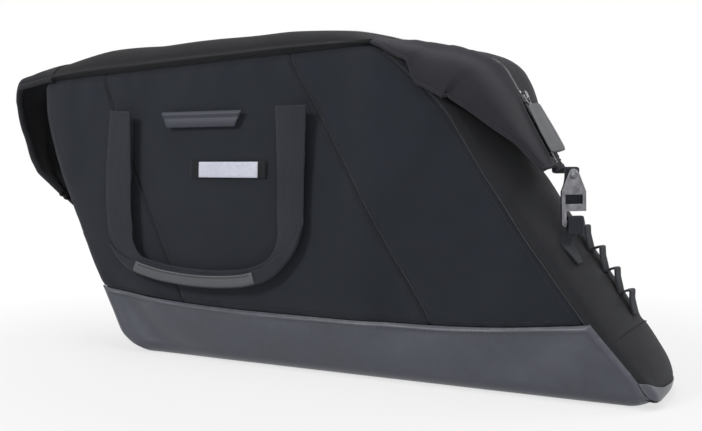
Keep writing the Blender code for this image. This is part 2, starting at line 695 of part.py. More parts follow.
def end_tab(name, path, rivet, run, wide, out):
    """The webbing tab from the end of a tail to the back of its hook, with a hole for the rivet."""
    end, tail_run, _, _ = tail_frame(path, 1.0)
    across = level_with(wide)
    start = end + tail_run * 2 * LAYER
    behind = rivet - out * (HOOK_FACE + TAB_WEB / 2)
    lead = HOOK_TONGUE
    route = (start, start + tail_run * lead, behind - run * lead, behind, behind + run * lead)

    def shape(u, v):
        side = across.lerp(wide, min(1.6 * u, 1.0)).normalized()
        return along(route, u) + side * (TAB_HALF[0] + (TAB_HALF[1] - TAB_HALF[0]) * u) * (2 * v - 1)

    tab = sheet(name, shape, 10, 2, TAB_WEB, STRAP, side=0.0)
    cut(tab, drill(name + "_hole", BORE, DRILL_LENGTH / 3, frame_at(rivet, run, wide, out)))


def side_hook(hand_name, path, rivet, run, out, ground, foot):
    """Hook plate, its rivet, the loop round its finger and the tail's tab, hanging along run, facing out."""
    wide = out.cross(run).normalized()
    out = run.cross(wide).normalized()
    top = rivet - run * HOOK_RIVET
    hole = arc((0.0, HOOK_RIVET), BORE, 0, 330, 11)
    hook = plate("side_hook_" + hand_name, hook_outline(), HOOK_THICK, frame_at(top, wide, run, -out), METAL,
                 (HOOK_WINDOW, hole))
    turned("hook_rivet_" + hand_name, rivet_profile(HOOK_FACE, -HOOK_FACE - TAB_WEB - LAYER),
           frame_at(rivet, run, wide, out), METAL)
    carry(empty("hook_axis_" + hand_name, rivet), hook)
    finger = top + run * (HOOK_SLOT[1] + HOOK_LENGTH) / 2
    hook_loop("hook_loop_" + hand_name, finger, run, wide, out, ground, foot)
    end_tab("end_tab_" + hand_name, path, rivet, run, wide, out)


RIGHT_RIVET = Vector((0.2285, -0.038, 0.2135))
RIGHT_HOOK_RUN = Vector((0.02, -0.01, -1.0)).normalized()
RIGHT_HOOK_OUT = Vector((0.76, -0.65, 0.0)).normalized()
RIGHT_FOOT = (0.118, 0.127, 0.136)    # heights on the gusset where the loop's leg is sewn down
LEFT_RIVET = Vector((-0.421, -0.024, 0.150))
LEFT_HOOK_RUN = Vector((0.48, 0.0, -0.877)).normalized()
LEFT_HOOK_OUT = Vector((-0.87, -0.06, -0.48)).normalized()
LEFT_FOOT = (0.060, 0.070, 0.080)
side_hook("right", RIGHT_TAIL, RIGHT_RIVET, RIGHT_HOOK_RUN, RIGHT_HOOK_OUT, right_gusset_point, RIGHT_FOOT)
side_hook("left", LEFT_TAIL, LEFT_RIVET, LEFT_HOOK_RUN, LEFT_HOOK_OUT, left_gusset_point, LEFT_FOOT)


def daisy_chain(name, point, top, slope, side):
    """Webbing sewn down at even steps, standing off the gusset in a loop between them."""
    def shape(u, v):
        phase = u * LOOP_COUNT
        bulge = math.sin(math.pi * (phase % 1.0)) if 0.0 < u < 1.0 else 0.0
        lift = PANEL + LOOP_OFF + LOOP_HEIGHT * abs(bulge) ** 0.8
        return point(top - slope * LOOP_PITCH * phase, NARROW_WEBBING * (v - 0.5), lift)
    return sheet(name, shape, LOOP_COUNT * 8, 1, LOOP_WEB, STRAP, side=side)


RIGHT_CHAIN = (0.145, 0.83)       # height of the chain's top end, and its fall along the gusset
LEFT_CHAIN = (0.150, 0.90)
daisy_chain("daisy_chain_right", right_gusset_point, *RIGHT_CHAIN, 1.0)
daisy_chain("daisy_chain_left", left_gusset_point, *LEFT_CHAIN, -1.0)


# Carry handle: sewn anchors, one webbing strap, and a wrapped grip
ANCHOR_LOW = 0.205
ANCHOR_HIGH = 0.2775
ANCHOR_THICK = 0.0018


def handle_anchor(name, middle):
    """A patch of webbing sewn to the outer side under one end of the strap."""
    def shape(u, v):
        x = middle + WEBBING * (u - 0.5)
        z = ANCHOR_LOW + (ANCHOR_HIGH - ANCHOR_LOW) * v
        return Vector((x, front_y(x, z) - LAYER, z))
    return sheet(name, shape, 3, 6, ANCHOR_THICK, STRAP, side=1.0)


handle_anchor("handle_anchor_left", HANDLE_LEFT_X)
handle_anchor("handle_anchor_right", HANDLE_RIGHT_X)

HANDLE_PATH = ((HANDLE_LEFT_X, 0.0, 0.286), (HANDLE_LEFT_X, 0.0, 0.215), (HANDLE_LEFT_X, 0.0, 0.155),
               (-0.293, 0.0, 0.122), (-0.262, 0.0, 0.105), (-0.222, 0.0, 0.0985), (-0.180, 0.0, 0.098),
               (-0.140, 0.0, 0.103), (-0.103, 0.0, 0.116), (-0.074, 0.0, 0.143), (HANDLE_RIGHT_X, 0.0, 0.182),
               (HANDLE_RIGHT_X, 0.0, 0.230), (HANDLE_RIGHT_X, 0.0, 0.286))
HANDLE_WIDTHS = ((0.0, WEBBING), (0.22, WEBBING), (0.34, 0.020), (0.42, 0.016), (0.60, 0.016), (0.70, 0.024),
                 (0.80, 0.032), (0.92, WEBBING), (1.0, WEBBING))


def strap_frame(share):
    """Centre of the hanging strap, and its way across, in the plane of the bag's side."""
    run = heading(HANDLE_PATH, share)
    return along(HANDLE_PATH, share), Vector((-run.z, 0.0, run.x))


def handle_shape(u, v):
    """The strap hangs flat as one U, and is folded narrower towards the grip."""
    centre, across = strap_frame(u)
    return centre + across * table(HANDLE_WIDTHS, u) * (v - 0.5) + ACROSS * HANDLE_Y


GRIP_SHARES = (0.365, 0.655)
GRIP_HEIGHT = 0.0125
GRIP_THICK = 0.0018
GRIP_GAP = 0.0010             # between the wrap and the strap
GRIP_WALL = 0.35              # share of the wrap's section in each flat wall


def grip_shape(u, v):
    """A wrap folded up round the strap's lower edge: front wall, round foot and back wall."""
    share = GRIP_SHARES[0] + (GRIP_SHARES[1] - GRIP_SHARES[0]) * u
    centre, across = strap_frame(share)
    half = WEBBING_THICK / 2 + GRIP_GAP
    knee = half - table(HANDLE_WIDTHS, share) / 2 - GRIP_GAP
    climb = max(GRIP_WALL - v, v - 1 + GRIP_WALL, 0.0) / GRIP_WALL
    turn = math.pi * min(max((v - GRIP_WALL) / (1 - 2 * GRIP_WALL), 0.0), 1.0)
    rise = knee - half * math.sin(turn) + (GRIP_HEIGHT - half) * climb
    return centre + across * rise + ACROSS * (HANDLE_Y - WEBBING_THICK / 2 - half * math.cos(turn))


handle_strap = sheet("handle_strap", handle_shape, 48, 2, WEBBING_THICK, STRAP, side=1.0)
handle_grip = sheet("handle_grip", grip_shape, 12, 10, GRIP_THICK, WRAP)
carry(empty("handle_axis", HANDLE_AXIS), handle_strap, handle_grip)


# Bare label tab and light loop
TAB_TOP = ((-0.246, 0.2845), (-0.134, 0.2845))
TAB_LOW = ((-0.144, 0.2655), (-0.239, 0.2655))
TAB_Y = -0.0816
TAB_THICK = 0.0020
upright = Matrix.Rotation(math.radians(90), 4, "X")
label_tab = plate("label_tab", TAB_TOP[::-1] + TAB_LOW[::-1], TAB_THICK,
                  Matrix.Translation((0.0, TAB_Y, 0.0)) @ upright, WRAP)
carry(empty("tab_axis", (sum(x for x, _ in TAB_TOP) / 2, TAB_Y, TAB_TOP[0][1])), label_tab)

STRIP_BASE = (-0.205, -0.100, 0.2085, 0.2270)     # left, right, low and high
STRIP_BASE_THICK = 0.0012
STRIP = (-0.194, -0.113, 0.2090, 0.2265)
STRIP_THICK = 0.0005


def strip_shape(left, right, low, high, off):
    """A rectangle laid on the outer side."""
    def shape(u, v):
        x = left + (right - left) * u
        z = low + (high - low) * v
        return Vector((x, front_y(x, z) - off, z))
    return shape


sheet("light_strip_base", strip_shape(*STRIP_BASE, LAYER), 8, 2, STRIP_BASE_THICK, STRAP, side=1.0)
sheet("light_strip", strip_shape(*STRIP, 2 * LAYER + STRIP_BASE_THICK), 8, 2, STRIP_THICK, PALE, side=1.0)


# Rack fittings on the back: rail, and two hooks with a sprung gate each
RAIL_LOW = 0.276
RAIL_HIGH = 0.301
RAIL_THICK = 0.005
RAIL_ROUND = 0.0012
RAIL_SPARE = 0.035            # how far the rail goes past each hook
RACK_HOOK_PLATE = 0.004
RACK_HOOK_WIDTH = 0.026
RACK_HOOK_WALL = 0.005
RACK_HOOK_LIP = 0.016         # how far the hook's lip goes below the tube's middle
RACK_HOOK_MOUTH = 0.021       # from the hook's plate to its lip
TUBE_ROOM = 0.001             # between the tube and the round of the hook
GATE_WIDTH = 0.015
GATE_EYE = 0.0028             # radius of the gate round its pin
GATE_OFF = 0.0020             # from the hook's plate to the gate's pin
GATE_DROP = 0.0165            # from the tube's middle to the gate's pin
GATE_BLADE = (-0.0010, 0.0026)    # lower and upper face of the gate's tip, from its pin
GATE_SLOT = (GATE_WIDTH + 3 * LAYER, 0.0140, 0.0180)
PIN_RADIUS = 0.0012
PIN_BORE = PIN_RADIUS + LAYER
PIN_HALF = 0.0125
EAR = (0.0028, 0.004)         # how far the hook's two ears reach past the pin, out and down
RIVET_HEIGHTS = (0.2825, 0.2945)

rail_y = HALF_DEPTH + LAYER
hook_y = rail_y + RAIL_THICK + LAYER
plate_y = hook_y + RACK_HOOK_PLATE
throat = RACK_TUBE_RADIUS + TUBE_ROOM
near_y = plate_y + throat
far_y = plate_y + RACK_HOOK_MOUTH - throat
lip_y = plate_y + RACK_HOOK_MOUTH
gate_y = plate_y + GATE_OFF
gate_z = RACK_TUBE_Z - GATE_DROP
gate_tip = lip_y - TUBE_ROOM
sideways = Matrix(((0, 0, 1, 0), (1, 0, 0, 0), (0, 1, 0, 0), (0, 0, 0, 1)))
toward_back = Matrix.Rotation(math.radians(-90), 4, "X")

rail_length = RACK_HOOK_X[1] - RACK_HOOK_X[0] + 2 * RAIL_SPARE
rail = block("mounting_rail", (rail_length, RAIL_THICK, RAIL_HIGH - RAIL_LOW),
             Matrix.Translation((sum(RACK_HOOK_X) / 2, rail_y + RAIL_THICK / 2, (RAIL_LOW + RAIL_HIGH) / 2)),
             PLASTIC, RAIL_ROUND)
rack_hook_section = [(hook_y, RAIL_LOW), (plate_y, RAIL_LOW), (plate_y, gate_z - EAR[1] - EAR[0] / 2),
                     (gate_y + EAR[0], gate_z - EAR[1]), (gate_y + EAR[0], gate_z + EAR[0]),
                     (plate_y, gate_z + EAR[1])]
rack_hook_section += arc((near_y, RACK_TUBE_Z), throat, 180, 90, 5)
rack_hook_section += arc((far_y, RACK_TUBE_Z), throat, 90, 0, 5)
lip_z = RACK_TUBE_Z - RACK_HOOK_LIP
rack_hook_section += [(lip_y, lip_z), (lip_y + RACK_HOOK_WALL, lip_z)]
rack_hook_section += arc((far_y, RACK_TUBE_Z), throat + RACK_HOOK_WALL, 0, 90, 6)
rack_hook_section += arc((near_y, RACK_TUBE_Z), throat + RACK_HOOK_WALL, 90, 120, 3)
rack_hook_section += [(hook_y, RACK_TUBE_Z + RACK_HOOK_WALL)]
gate_section = arc((gate_y, gate_z), GATE_EYE, 60, 270, 8)
gate_section += [(gate_tip, gate_z + GATE_BLADE[0]), (gate_tip, gate_z + GATE_BLADE[1])]
board_inner = -PANEL - LAYER - BOARD_THICK - LAYER
for hand_name, x in zip(("left", "right"), RACK_HOOK_X):
    aside = Matrix.Translation((x, 0.0, 0.0)) @ sideways
    pin_place = Matrix.Translation((x, gate_y, gate_z)) @ sideways
    rack_hook = plate("rack_hook_" + hand_name, rack_hook_section, RACK_HOOK_WIDTH, aside, PLASTIC)
    slot = cutter(block("gate_slot_" + hand_name, GATE_SLOT,
                        Matrix.Translation((x, gate_y + GATE_EYE - LAYER, gate_z)), PLASTIC))
    cut(rack_hook, slot, drill("pin_hole_" + hand_name, PIN_BORE, DRILL_LENGTH, pin_place))
    turned("gate_pin_" + hand_name, ((0.0, PIN_HALF), (PIN_RADIUS, PIN_HALF), (PIN_RADIUS, -PIN_HALF),
                                     (0.0, -PIN_HALF)), pin_place, METAL)
    gate = plate("hook_gate_" + hand_name, gate_section, GATE_WIDTH, aside, PLASTIC,
                 (arc((gate_y, gate_z), PIN_BORE, 0, 330, 11),))
    carry(empty("gate_axis_" + hand_name, (x, gate_y, gate_z)), gate)
    for number, z in enumerate(RIVET_HEIGHTS, start=1):
        through = Matrix.Translation((x, HALF_DEPTH, z)) @ toward_back
        hole = drill(f"rivet_hole_{hand_name}_{number}", BORE, DRILL_LENGTH, through)
        for piece in (rack_hook, rail, back_panel, back_board):
            cut(piece, hole)
        turned(f"rail_rivet_{hand_name}_{number}", rivet_profile(plate_y + LAYER - HALF_DEPTH, board_inner),
               through, METAL)

# Lower catch, which turns on one rivet and grips an upright of the rack
CATCH_BASE_RADIUS = 0.017
CATCH_BASE_THICK = 0.004
CATCH_ARM = 0.004
CATCH_WIDTH = 0.024
CATCH_BACK = -0.013           # from the rivet to the arm's blunt end
CATCH_END = 0.044             # from the rivet to the outside of the hooked end
CATCH_TIP = 0.024             # from the rivet to the tip of the finger
FINGER_REACH = 0.014          # room between the arm and the finger
CATCH_HEAD = 0.0050
CATCH_ROUND = 0.001           # chamfer on the disc and on the finger
base_top = LAYER + CATCH_BASE_THICK
catch_y = HALF_DEPTH + base_top + LAYER
catch_outer = catch_y + CATCH_ARM
finger_y = catch_outer + FINGER_REACH
catch_turn = Matrix.Translation(CATCH_CENTRE) @ toward_back
base_profile = ((0.0, base_top), (CATCH_BASE_RADIUS - CATCH_ROUND, base_top),
                (CATCH_BASE_RADIUS, base_top - CATCH_ROUND), (CATCH_BASE_RADIUS, LAYER), (0.0, LAYER))
catch_base = turned("catch_base", base_profile, catch_turn, PLASTIC, 20)
catch_section = [(CATCH_BACK, catch_y), (CATCH_END, catch_y), (CATCH_END, finger_y + CATCH_ARM),
                 (CATCH_TIP + CATCH_ROUND, finger_y + CATCH_ARM), (CATCH_TIP, finger_y + CATCH_ROUND),
                 (CATCH_TIP, finger_y), (CATCH_END - CATCH_ARM, finger_y),
                 (CATCH_END - CATCH_ARM, catch_outer), (CATCH_BACK, catch_outer)]
lower_catch = plate("lower_catch", catch_section, CATCH_WIDTH,
                    Matrix.Translation((CATCH_CENTRE.x, 0.0, CATCH_CENTRE.z)), PLASTIC)
catch_hole = drill("catch_hole", BORE, DRILL_LENGTH, catch_turn)
for piece in (back_panel, back_board, catch_base, lower_catch):
    cut(piece, catch_hole)
turned("catch_rivet", rivet_profile(catch_outer + LAYER - HALF_DEPTH, board_inner, CATCH_HEAD), catch_turn,
       METAL)
carry(empty("catch_axis", (CATCH_CENTRE.x, catch_y, CATCH_CENTRE.z)), lower_catch)
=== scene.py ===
# %% [markdown]
# # A saddle bag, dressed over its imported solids
# The bag hangs beside the rear rack of a long cargo bicycle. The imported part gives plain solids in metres:
# the origin is near the middle of the base, +X runs along the bag, -Y is the outer side, +Z is up. This
# lesson lays cloth, webbing, zip and metal over those solids. Loading them first fixes every place and
# every joint.

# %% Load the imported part
import json

import bmesh
import bpy
import numpy as np
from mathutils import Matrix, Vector


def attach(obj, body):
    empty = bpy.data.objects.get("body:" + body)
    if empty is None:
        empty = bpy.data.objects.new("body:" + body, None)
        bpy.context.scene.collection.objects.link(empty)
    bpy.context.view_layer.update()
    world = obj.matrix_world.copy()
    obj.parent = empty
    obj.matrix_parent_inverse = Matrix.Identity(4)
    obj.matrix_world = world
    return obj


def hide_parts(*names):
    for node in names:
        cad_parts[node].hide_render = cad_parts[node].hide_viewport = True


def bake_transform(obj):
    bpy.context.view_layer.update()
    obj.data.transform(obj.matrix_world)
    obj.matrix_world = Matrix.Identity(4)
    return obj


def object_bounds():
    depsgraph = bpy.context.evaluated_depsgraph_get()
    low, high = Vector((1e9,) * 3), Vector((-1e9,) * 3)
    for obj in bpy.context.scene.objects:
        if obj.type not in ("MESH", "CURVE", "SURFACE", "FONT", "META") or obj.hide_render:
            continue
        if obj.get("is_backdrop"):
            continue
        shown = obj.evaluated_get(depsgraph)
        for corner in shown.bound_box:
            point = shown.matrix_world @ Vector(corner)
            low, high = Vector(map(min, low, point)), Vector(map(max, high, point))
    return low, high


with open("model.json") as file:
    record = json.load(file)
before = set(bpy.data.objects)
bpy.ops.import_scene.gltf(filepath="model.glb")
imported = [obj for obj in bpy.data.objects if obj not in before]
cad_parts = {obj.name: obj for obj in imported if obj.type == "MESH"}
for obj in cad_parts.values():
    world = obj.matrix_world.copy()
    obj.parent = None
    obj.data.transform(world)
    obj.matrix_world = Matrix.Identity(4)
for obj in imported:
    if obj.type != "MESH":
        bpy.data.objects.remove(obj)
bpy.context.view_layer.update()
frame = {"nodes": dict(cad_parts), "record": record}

# %% [markdown]
# ## Camera
# The bag is seen from its outer side, turned by 30 degrees and from a little above its middle. The place
# was found by laying the bag's straight base, its seams and its two ends over the picture, so it stays
# fixed here.

# %% Camera
CAMERA_PLACE = Vector((0.53999, -1.00528, 0.22296))
CAMERA_TARGET = Vector((0.0, -0.070, 0.1701))
CAMERA_LENS = 52.909
SENSOR = 36.0

camera = bpy.data.objects.new("camera", bpy.data.cameras.new("camera"))
camera.data.lens = CAMERA_LENS
camera.data.sensor_width = SENSOR
camera.data.sensor_fit = "HORIZONTAL"
camera.location = CAMERA_PLACE
camera.rotation_euler = (CAMERA_TARGET - CAMERA_PLACE).to_track_quat("-Z", "Y").to_euler()
bpy.context.scene.collection.objects.link(camera)
bpy.context.scene.camera = camera
print("camera stands", round((CAMERA_TARGET - CAMERA_PLACE).length, 3), "m from the outer side")

# %% [markdown]
# ## Curves and grids
# Every soft piece is a grid of points worked out at once with numpy, not modelled by hand: a sewn bag is
# ruled by a few lines (its edges and seams), so functions of two parameters keep neighbouring pieces on the
# same lines.

# %% Curves and grids
ACROSS = np.array((0.0, 1.0, 0.0))
UP = np.array((0.0, 0.0, 1.0))
INSIDE = np.array((-0.100, 0.0, 0.170))     # a point inside the bag, which faces look away from
TAPS = np.linspace(-1.0, 1.0, 9)            # where a soft reading looks, on both sides of its value


def unit(vectors):
    """Vectors divided by their lengths."""
    return vectors / np.linalg.norm(vectors, axis=-1, keepdims=True)


def reading(pairs, value, soft):
    """A table of (value, result) pairs read with rounded corners: the straight-line reading, carried on
    past both ends, averaged over a stretch of plus and minus soft."""
    places, results = np.array(pairs, float).T
    first = (results[1] - results[0]) / (places[1] - places[0])
    last = (results[-1] - results[-2]) / (places[-1] - places[-2])
    places = np.concatenate(([places[0] - soft], places, [places[-1] + soft]))
    results = np.concatenate(([results[0] - first * soft], results, [results[-1] + last * soft]))
    weights = (1.0 - TAPS**2) ** 2 + 1e-6
    spots = np.asarray(value, float)[..., None] + soft * TAPS
    return np.interp(spots, places, results) @ weights / weights.sum()


def running(points, axis):
    """Length from the start of a path, or of a grid along one of its axes: the running sum of its steps."""
    steps = np.linalg.norm(np.diff(points, axis=axis), axis=-1)
    return np.concatenate((np.zeros_like(steps.take([0], axis)), np.cumsum(steps, axis=axis)), axis=axis)


def walk(points, share):
    """Points on the smooth curve through some points, at shares of its length: on each span the cubic that
    has the neighbours' mean direction at its two ends."""
    points = np.array(points, float)
    reach = running(points, 0)
    slopes = np.gradient(points, reach, axis=0)
    at = np.clip(share, 0.0, 1.0) * reach[-1]
    k = np.clip(np.searchsorted(reach, at, side="right") - 1, 0, len(points) - 2)
    span = (reach[k + 1] - reach[k])[..., None]
    t = (at - reach[k])[..., None] / span
    start = (1 + 2 * t) * (1 - t) ** 2 * points[k] + t * (1 - t) ** 2 * span * slopes[k]
    end = t * t * (3 - 2 * t) * points[k + 1] - t * t * (1 - t) * span * slopes[k + 1]
    return start + end


def way(points, share, step=0.004):
    """The direction of that curve: the difference of two points a small step apart."""
    return unit(walk(points, np.minimum(share + step, 1.0)) - walk(points, np.maximum(share - step, 0.0)))


def spread(count, crowd=0.6):
    """Parameters from 0 to 1, drawn towards both ends: even steps mixed with half a cosine wave."""
    even = np.linspace(0.0, 1.0, count)
    return (1 - crowd) * even + crowd * (0.5 - 0.5 * np.cos(np.pi * even))


def grid(columns, rows, crowd=0.6):
    """Two arrays of parameters: u runs along the columns and v along the rows."""
    return np.meshgrid(spread(columns, crowd), spread(rows, crowd))


def step_up(value, low, high):
    """0 below low, 1 above high, and a smooth S between them."""
    t = np.clip((value - low) / (high - low), 0.0, 1.0)
    return t * t * (3 - 2 * t)


def ripple(points, wavelength, seed, count=7):
    """Slow lumps from -1 to 1: the mean of a few sine waves in seeded directions."""
    dice = np.random.default_rng(seed)
    ways = unit(dice.normal(size=(count, 3))) * dice.uniform(0.7, 1.4, (count, 1))
    phases = dice.uniform(0.0, 2 * np.pi, count)
    return np.sin(points @ ways.T * (2 * np.pi / wavelength) + phases).mean(-1)


def uneven(points, size, seed):
    """How far a surface rises or sinks at its points by waves of a (height, length)."""
    return size[0] * ripple(points, size[1], seed)


def valley(distance, depth, width):
    """A sewn line's hollow: a bell curve of the distance from the line."""
    return depth * np.exp(-((distance / width) ** 2))


def angles(sides):
    """Even angles once round a circle."""
    return np.linspace(0.0, 2 * np.pi, sides, endpoint=False)


def squarish(turn, powers):
    """A rounded square: the cosine and the sine of an angle, each raised to its power, with its sign kept."""
    waves = (np.cos(turn), np.sin(turn))
    return [np.sign(wave) * np.abs(wave) ** power for wave, power in zip(waves, powers)]


print("a soft reading looks at", len(TAPS), "places")

# %% [markdown]
# ## From points to pieces
# A sheet of cloth is an open grid that a Solidify modifier thickens towards the inside. Webbing, wire,
# thread and zip teeth are closed skins: rings of points joined one to the next. Both carry a UV map in
# metres, so that a weave keeps its real size and follows the piece, and sheets carry how near each point is
# to an edge, for wear.

# %% From points to pieces
WEAR_REACH = 0.004              # over which the nearness to an edge fades


def dress(mesh, look, body, stands_for=()):
    """Makes a finished mesh a piece: smooth, with its finish, riding on its body in place of its solids.
    With no body it is left free."""
    mesh.shade_smooth()
    mesh.materials.append(look)
    piece = bpy.data.objects.new(mesh.name, mesh)
    bpy.context.scene.collection.objects.link(piece)
    if body:
        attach(piece, body)
    if stands_for:
        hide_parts(*stands_for)
    return piece


def put_uv(mesh, corners):
    """Writes a UV map named cloth from an array of face corners."""
    mesh.uv_layers.new(name="cloth").data.foreach_set("uv", np.asarray(corners, np.float32).ravel())


def looks_in(flat, quads, inside):
    """True if a mesh's faces look inwards: each face's normal times its way from a point inside, summed, is
    below zero. For a skin, which is all but closed, any point will do."""
    facing = np.cross(flat[quads[:, 2]] - flat[quads[:, 0]], flat[quads[:, 3]] - flat[quads[:, 1]])
    return np.sum(facing * (flat[quads].mean(1) - inside)) < 0


def cloth_mesh(name, points, inside=INSIDE):
    """An open grid of quads through an array of rows and columns of points, facing away from a point
    inside."""
    rows, columns = points.shape[:2]
    index = np.arange(rows * columns).reshape(rows, columns)
    quads = np.stack((index[:-1, :-1], index[:-1, 1:], index[1:, 1:], index[1:, :-1]), -1).reshape(-1, 4)
    flat = points.reshape(-1, 3)
    if looks_in(flat, quads, inside):
        quads = quads[:, ::-1]
    mesh = bpy.data.meshes.new(name)
    mesh.from_pydata(flat.tolist(), [], quads.tolist())
    along, up = running(points, 1), running(points, 0)
    put_uv(mesh, np.stack((along, up), -1).reshape(-1, 2)[quads.ravel()])
    rim = np.minimum(np.minimum(along, along[:, -1:] - along), np.minimum(up, up[-1:] - up))
    mesh.attributes.new("edge", "FLOAT", "POINT").data.foreach_set(
        "value", np.exp(-rim / WEAR_REACH).ravel().astype(np.float32))
    return mesh


def sheet(name, points, look, thick, body="bag", stands_for=()):
    """A sheet of cloth whose outer face is the grid, thickened towards the inside."""
    piece = dress(cloth_mesh(name, points), look, body, stands_for)
    wall = piece.modifiers.new("thickness", "SOLIDIFY")
    wall.thickness = thick
    wall.offset = -1.0
    wall.use_even_offset = True
    return piece


def cut_to(points):
    """Works out a sheet's greatest size across and along, and keeps nothing of it."""
    size = (float(running(points, 0)[-1].max()), float(running(points, 1)[:, -1].max()))


def skin(name, rings, look, body="bag", stands_for=(), loop=False):
    """Closed skins from rings of points, as an array of pieces, rings, points round a ring, and x y z. Each
    ring is joined to the next and the end rings are filled; a loop joins its last ring to its first
    instead."""
    pieces, count, sides = rings.shape[:3]
    index = np.arange(pieces * count * sides).reshape(pieces, count, sides)
    ahead = np.roll(index, -1, 1) if loop else index[:, 1:]
    here = index if loop else index[:, :-1]
    quads = np.stack((here, np.roll(here, -1, 2), np.roll(ahead, -1, 2), ahead), -1).reshape(-1, 4)
    ends = np.concatenate((index[:, 0, ::-1], index[:, -1]))
    flat = rings.reshape(-1, 3)
    if looks_in(flat, quads, 0.0):
        quads, ends = quads[:, ::-1], ends[:, ::-1]
    mesh = bpy.data.meshes.new(name)
    mesh.from_pydata(flat.tolist(), [], quads.tolist() + ([] if loop else ends.tolist()))
    along, around = running(rings, 1), running(rings, 2)
    corners = np.stack((along, around), -1).reshape(-1, 2)[quads.ravel()]
    if not loop:
        corners = np.concatenate((corners, np.zeros((ends.size, 2))))
    put_uv(mesh, corners)
    return dress(mesh, look, body, stands_for)


def ribbon(middle, normal, thick):
    """Rings round a ribbon: its middle surface moved half its thickness out and back along its normal,
    thinner at the two edges, as woven webbing is."""
    share = np.linspace(-1.0, 1.0, middle.shape[1])
    half = (thick / 2 * (1.0 - 0.55 * share**8))[:, None]
    return np.concatenate((middle + normal * half, (middle - normal * half)[:, ::-1]), axis=1)[None]


def flat_ribbon(middle, thick):
    """Rings round a ribbon that lies on the outer side and faces straight out."""
    return ribbon(middle, np.broadcast_to(-ACROSS, middle.shape), thick)


def tube(path, radius, towards, sides=8):
    """Rings round a path: circles square to its direction, counted from the way that is given."""
    run = unit(np.gradient(path, axis=0))
    first = unit(towards - run * np.sum(run * towards, -1, keepdims=True))
    second = np.cross(run, first)
    turn = angles(sides)[:, None]
    radius = np.broadcast_to(radius, len(path))[:, None, None]
    return (path[:, None] + radius * (np.cos(turn) * first[:, None] + np.sin(turn) * second[:, None]))[None]


def turned_rings(profile, place, axis, sides):
    """Rings of a turned piece: for each (radius, height) pair, a circle of that radius at that height on an
    axis."""
    side = unit(np.cross(axis, np.roll(axis, 1) + 0.3))
    other = np.cross(axis, side)
    turn = angles(sides)[:, None]
    circle = np.cos(turn) * side + np.sin(turn) * other
    return (place + profile[:, None, 1:] * axis + profile[:, None, :1] * circle)[None]


STITCH_PITCH = 0.0042
STITCH_LENGTH = 0.0031
STITCH_RADIUS = 0.00042
STITCH_SIDES = 6


def stitches(name, lines, look, body="bag"):
    """Rows of thread: along each (path, way out) line, small humps that dive into the cloth at both ends. A
    hump's height is a parabola of the distance from its middle."""
    t = np.linspace(-1.0, 1.0, 5)[:, None]
    every = []
    for path, out in lines:
        reach = running(path, 0)
        spots = np.arange(STITCH_PITCH / 2, reach[-1], STITCH_PITCH)
        ends = [np.stack([np.interp(spots + shift, reach, path[:, k]) for k in range(3)], -1)
                for shift in (-STITCH_LENGTH / 2, STITCH_LENGTH / 2)]
        run = unit(ends[1] - ends[0])
        out = np.broadcast_to(out, path.shape)
        out = np.stack([np.interp(spots, reach, out[:, k]) for k in range(3)], -1)
        lift = unit(out - run * np.sum(run * out, -1, keepdims=True))
        side = np.cross(run, lift)
        middle = (ends[0] + ends[1])[:, None] / 2 + run[:, None] * t * STITCH_LENGTH / 2
        middle = middle + lift[:, None] * STITCH_RADIUS * (1.2 - 2.0 * t**2)
        turn = angles(STITCH_SIDES)[:, None]
        round_it = np.cos(turn) * lift[:, None, None] + np.sin(turn) * side[:, None, None]
        every.append(middle[:, :, None] + STITCH_RADIUS * round_it)
    return skin(name, np.concatenate(every), look, body)


print("a stitch is", STITCH_LENGTH * 1000, "mm long, every", STITCH_PITCH * 1000, "mm")

# %% [markdown]
# ## Effects that several finishes share
# Weave, ribs, grain, mottle and wear are built once as shader node groups with named sockets. Each gives
# only values that change over the surface; the shader itself stays in the material, where the export can
# read it.

# %% Helpers for nodes
def math_node(tree, operation, first, second=None):
    """A Math node's output; each operand is a number or another node's socket."""
    node = tree.nodes.new("ShaderNodeMath")
    node.operation = operation
    for socket, value in zip(node.inputs, (first, second)):
        if isinstance(value, (int, float)):
            socket.default_value = value
        elif value is not None:
            tree.links.new(value, socket)
    return node.outputs[0]


def times(tree, first, *others):
    """The product of some values or sockets."""
    for other in others:
        first = math_node(tree, "MULTIPLY", first, other)
    return first


def mixture(tree, *parts):
    """The sum of (socket, weight) pairs."""
    weighted = [times(tree, socket, weight) for socket, weight in parts]
    total = weighted[0]
    for part in weighted[1:]:
        total = math_node(tree, "ADD", total, part)
    return total


def new_group(name, inputs, outputs):
    """An empty node group with float sockets, and its input and output nodes."""
    tree = bpy.data.node_groups.new(name, "ShaderNodeTree")
    for label, value in inputs.items():
        tree.interface.new_socket(label, in_out="INPUT", socket_type="NodeSocketFloat").default_value = value
    for label in outputs:
        tree.interface.new_socket(label, in_out="OUTPUT", socket_type="NodeSocketFloat")
    return tree, tree.nodes.new("NodeGroupInput").outputs, tree.nodes.new("NodeGroupOutput").inputs


def noise(tree, scale, detail=3.0, roughness=0.55):
    """Noise on the piece's own Object coordinates; the scale is a number or a socket."""
    place = tree.nodes.new("ShaderNodeTexCoord")
    node = tree.nodes.new("ShaderNodeTexNoise")
    node.inputs["Detail"].default_value = detail
    node.inputs["Roughness"].default_value = roughness
    if isinstance(scale, (int, float)):
        node.inputs["Scale"].default_value = scale
    else:
        tree.links.new(scale, node.inputs["Scale"])
    tree.links.new(place.outputs["Object"], node.inputs["Vector"])
    return node.outputs["Fac"]


def stretch(tree, value, low, high):
    """A value stretched so that low becomes 0 and high becomes 1."""
    node = tree.nodes.new("ShaderNodeMapRange")
    node.inputs["From Min"].default_value = low
    node.inputs["From Max"].default_value = high
    tree.links.new(value, node.inputs["Value"])
    return node.outputs["Result"]


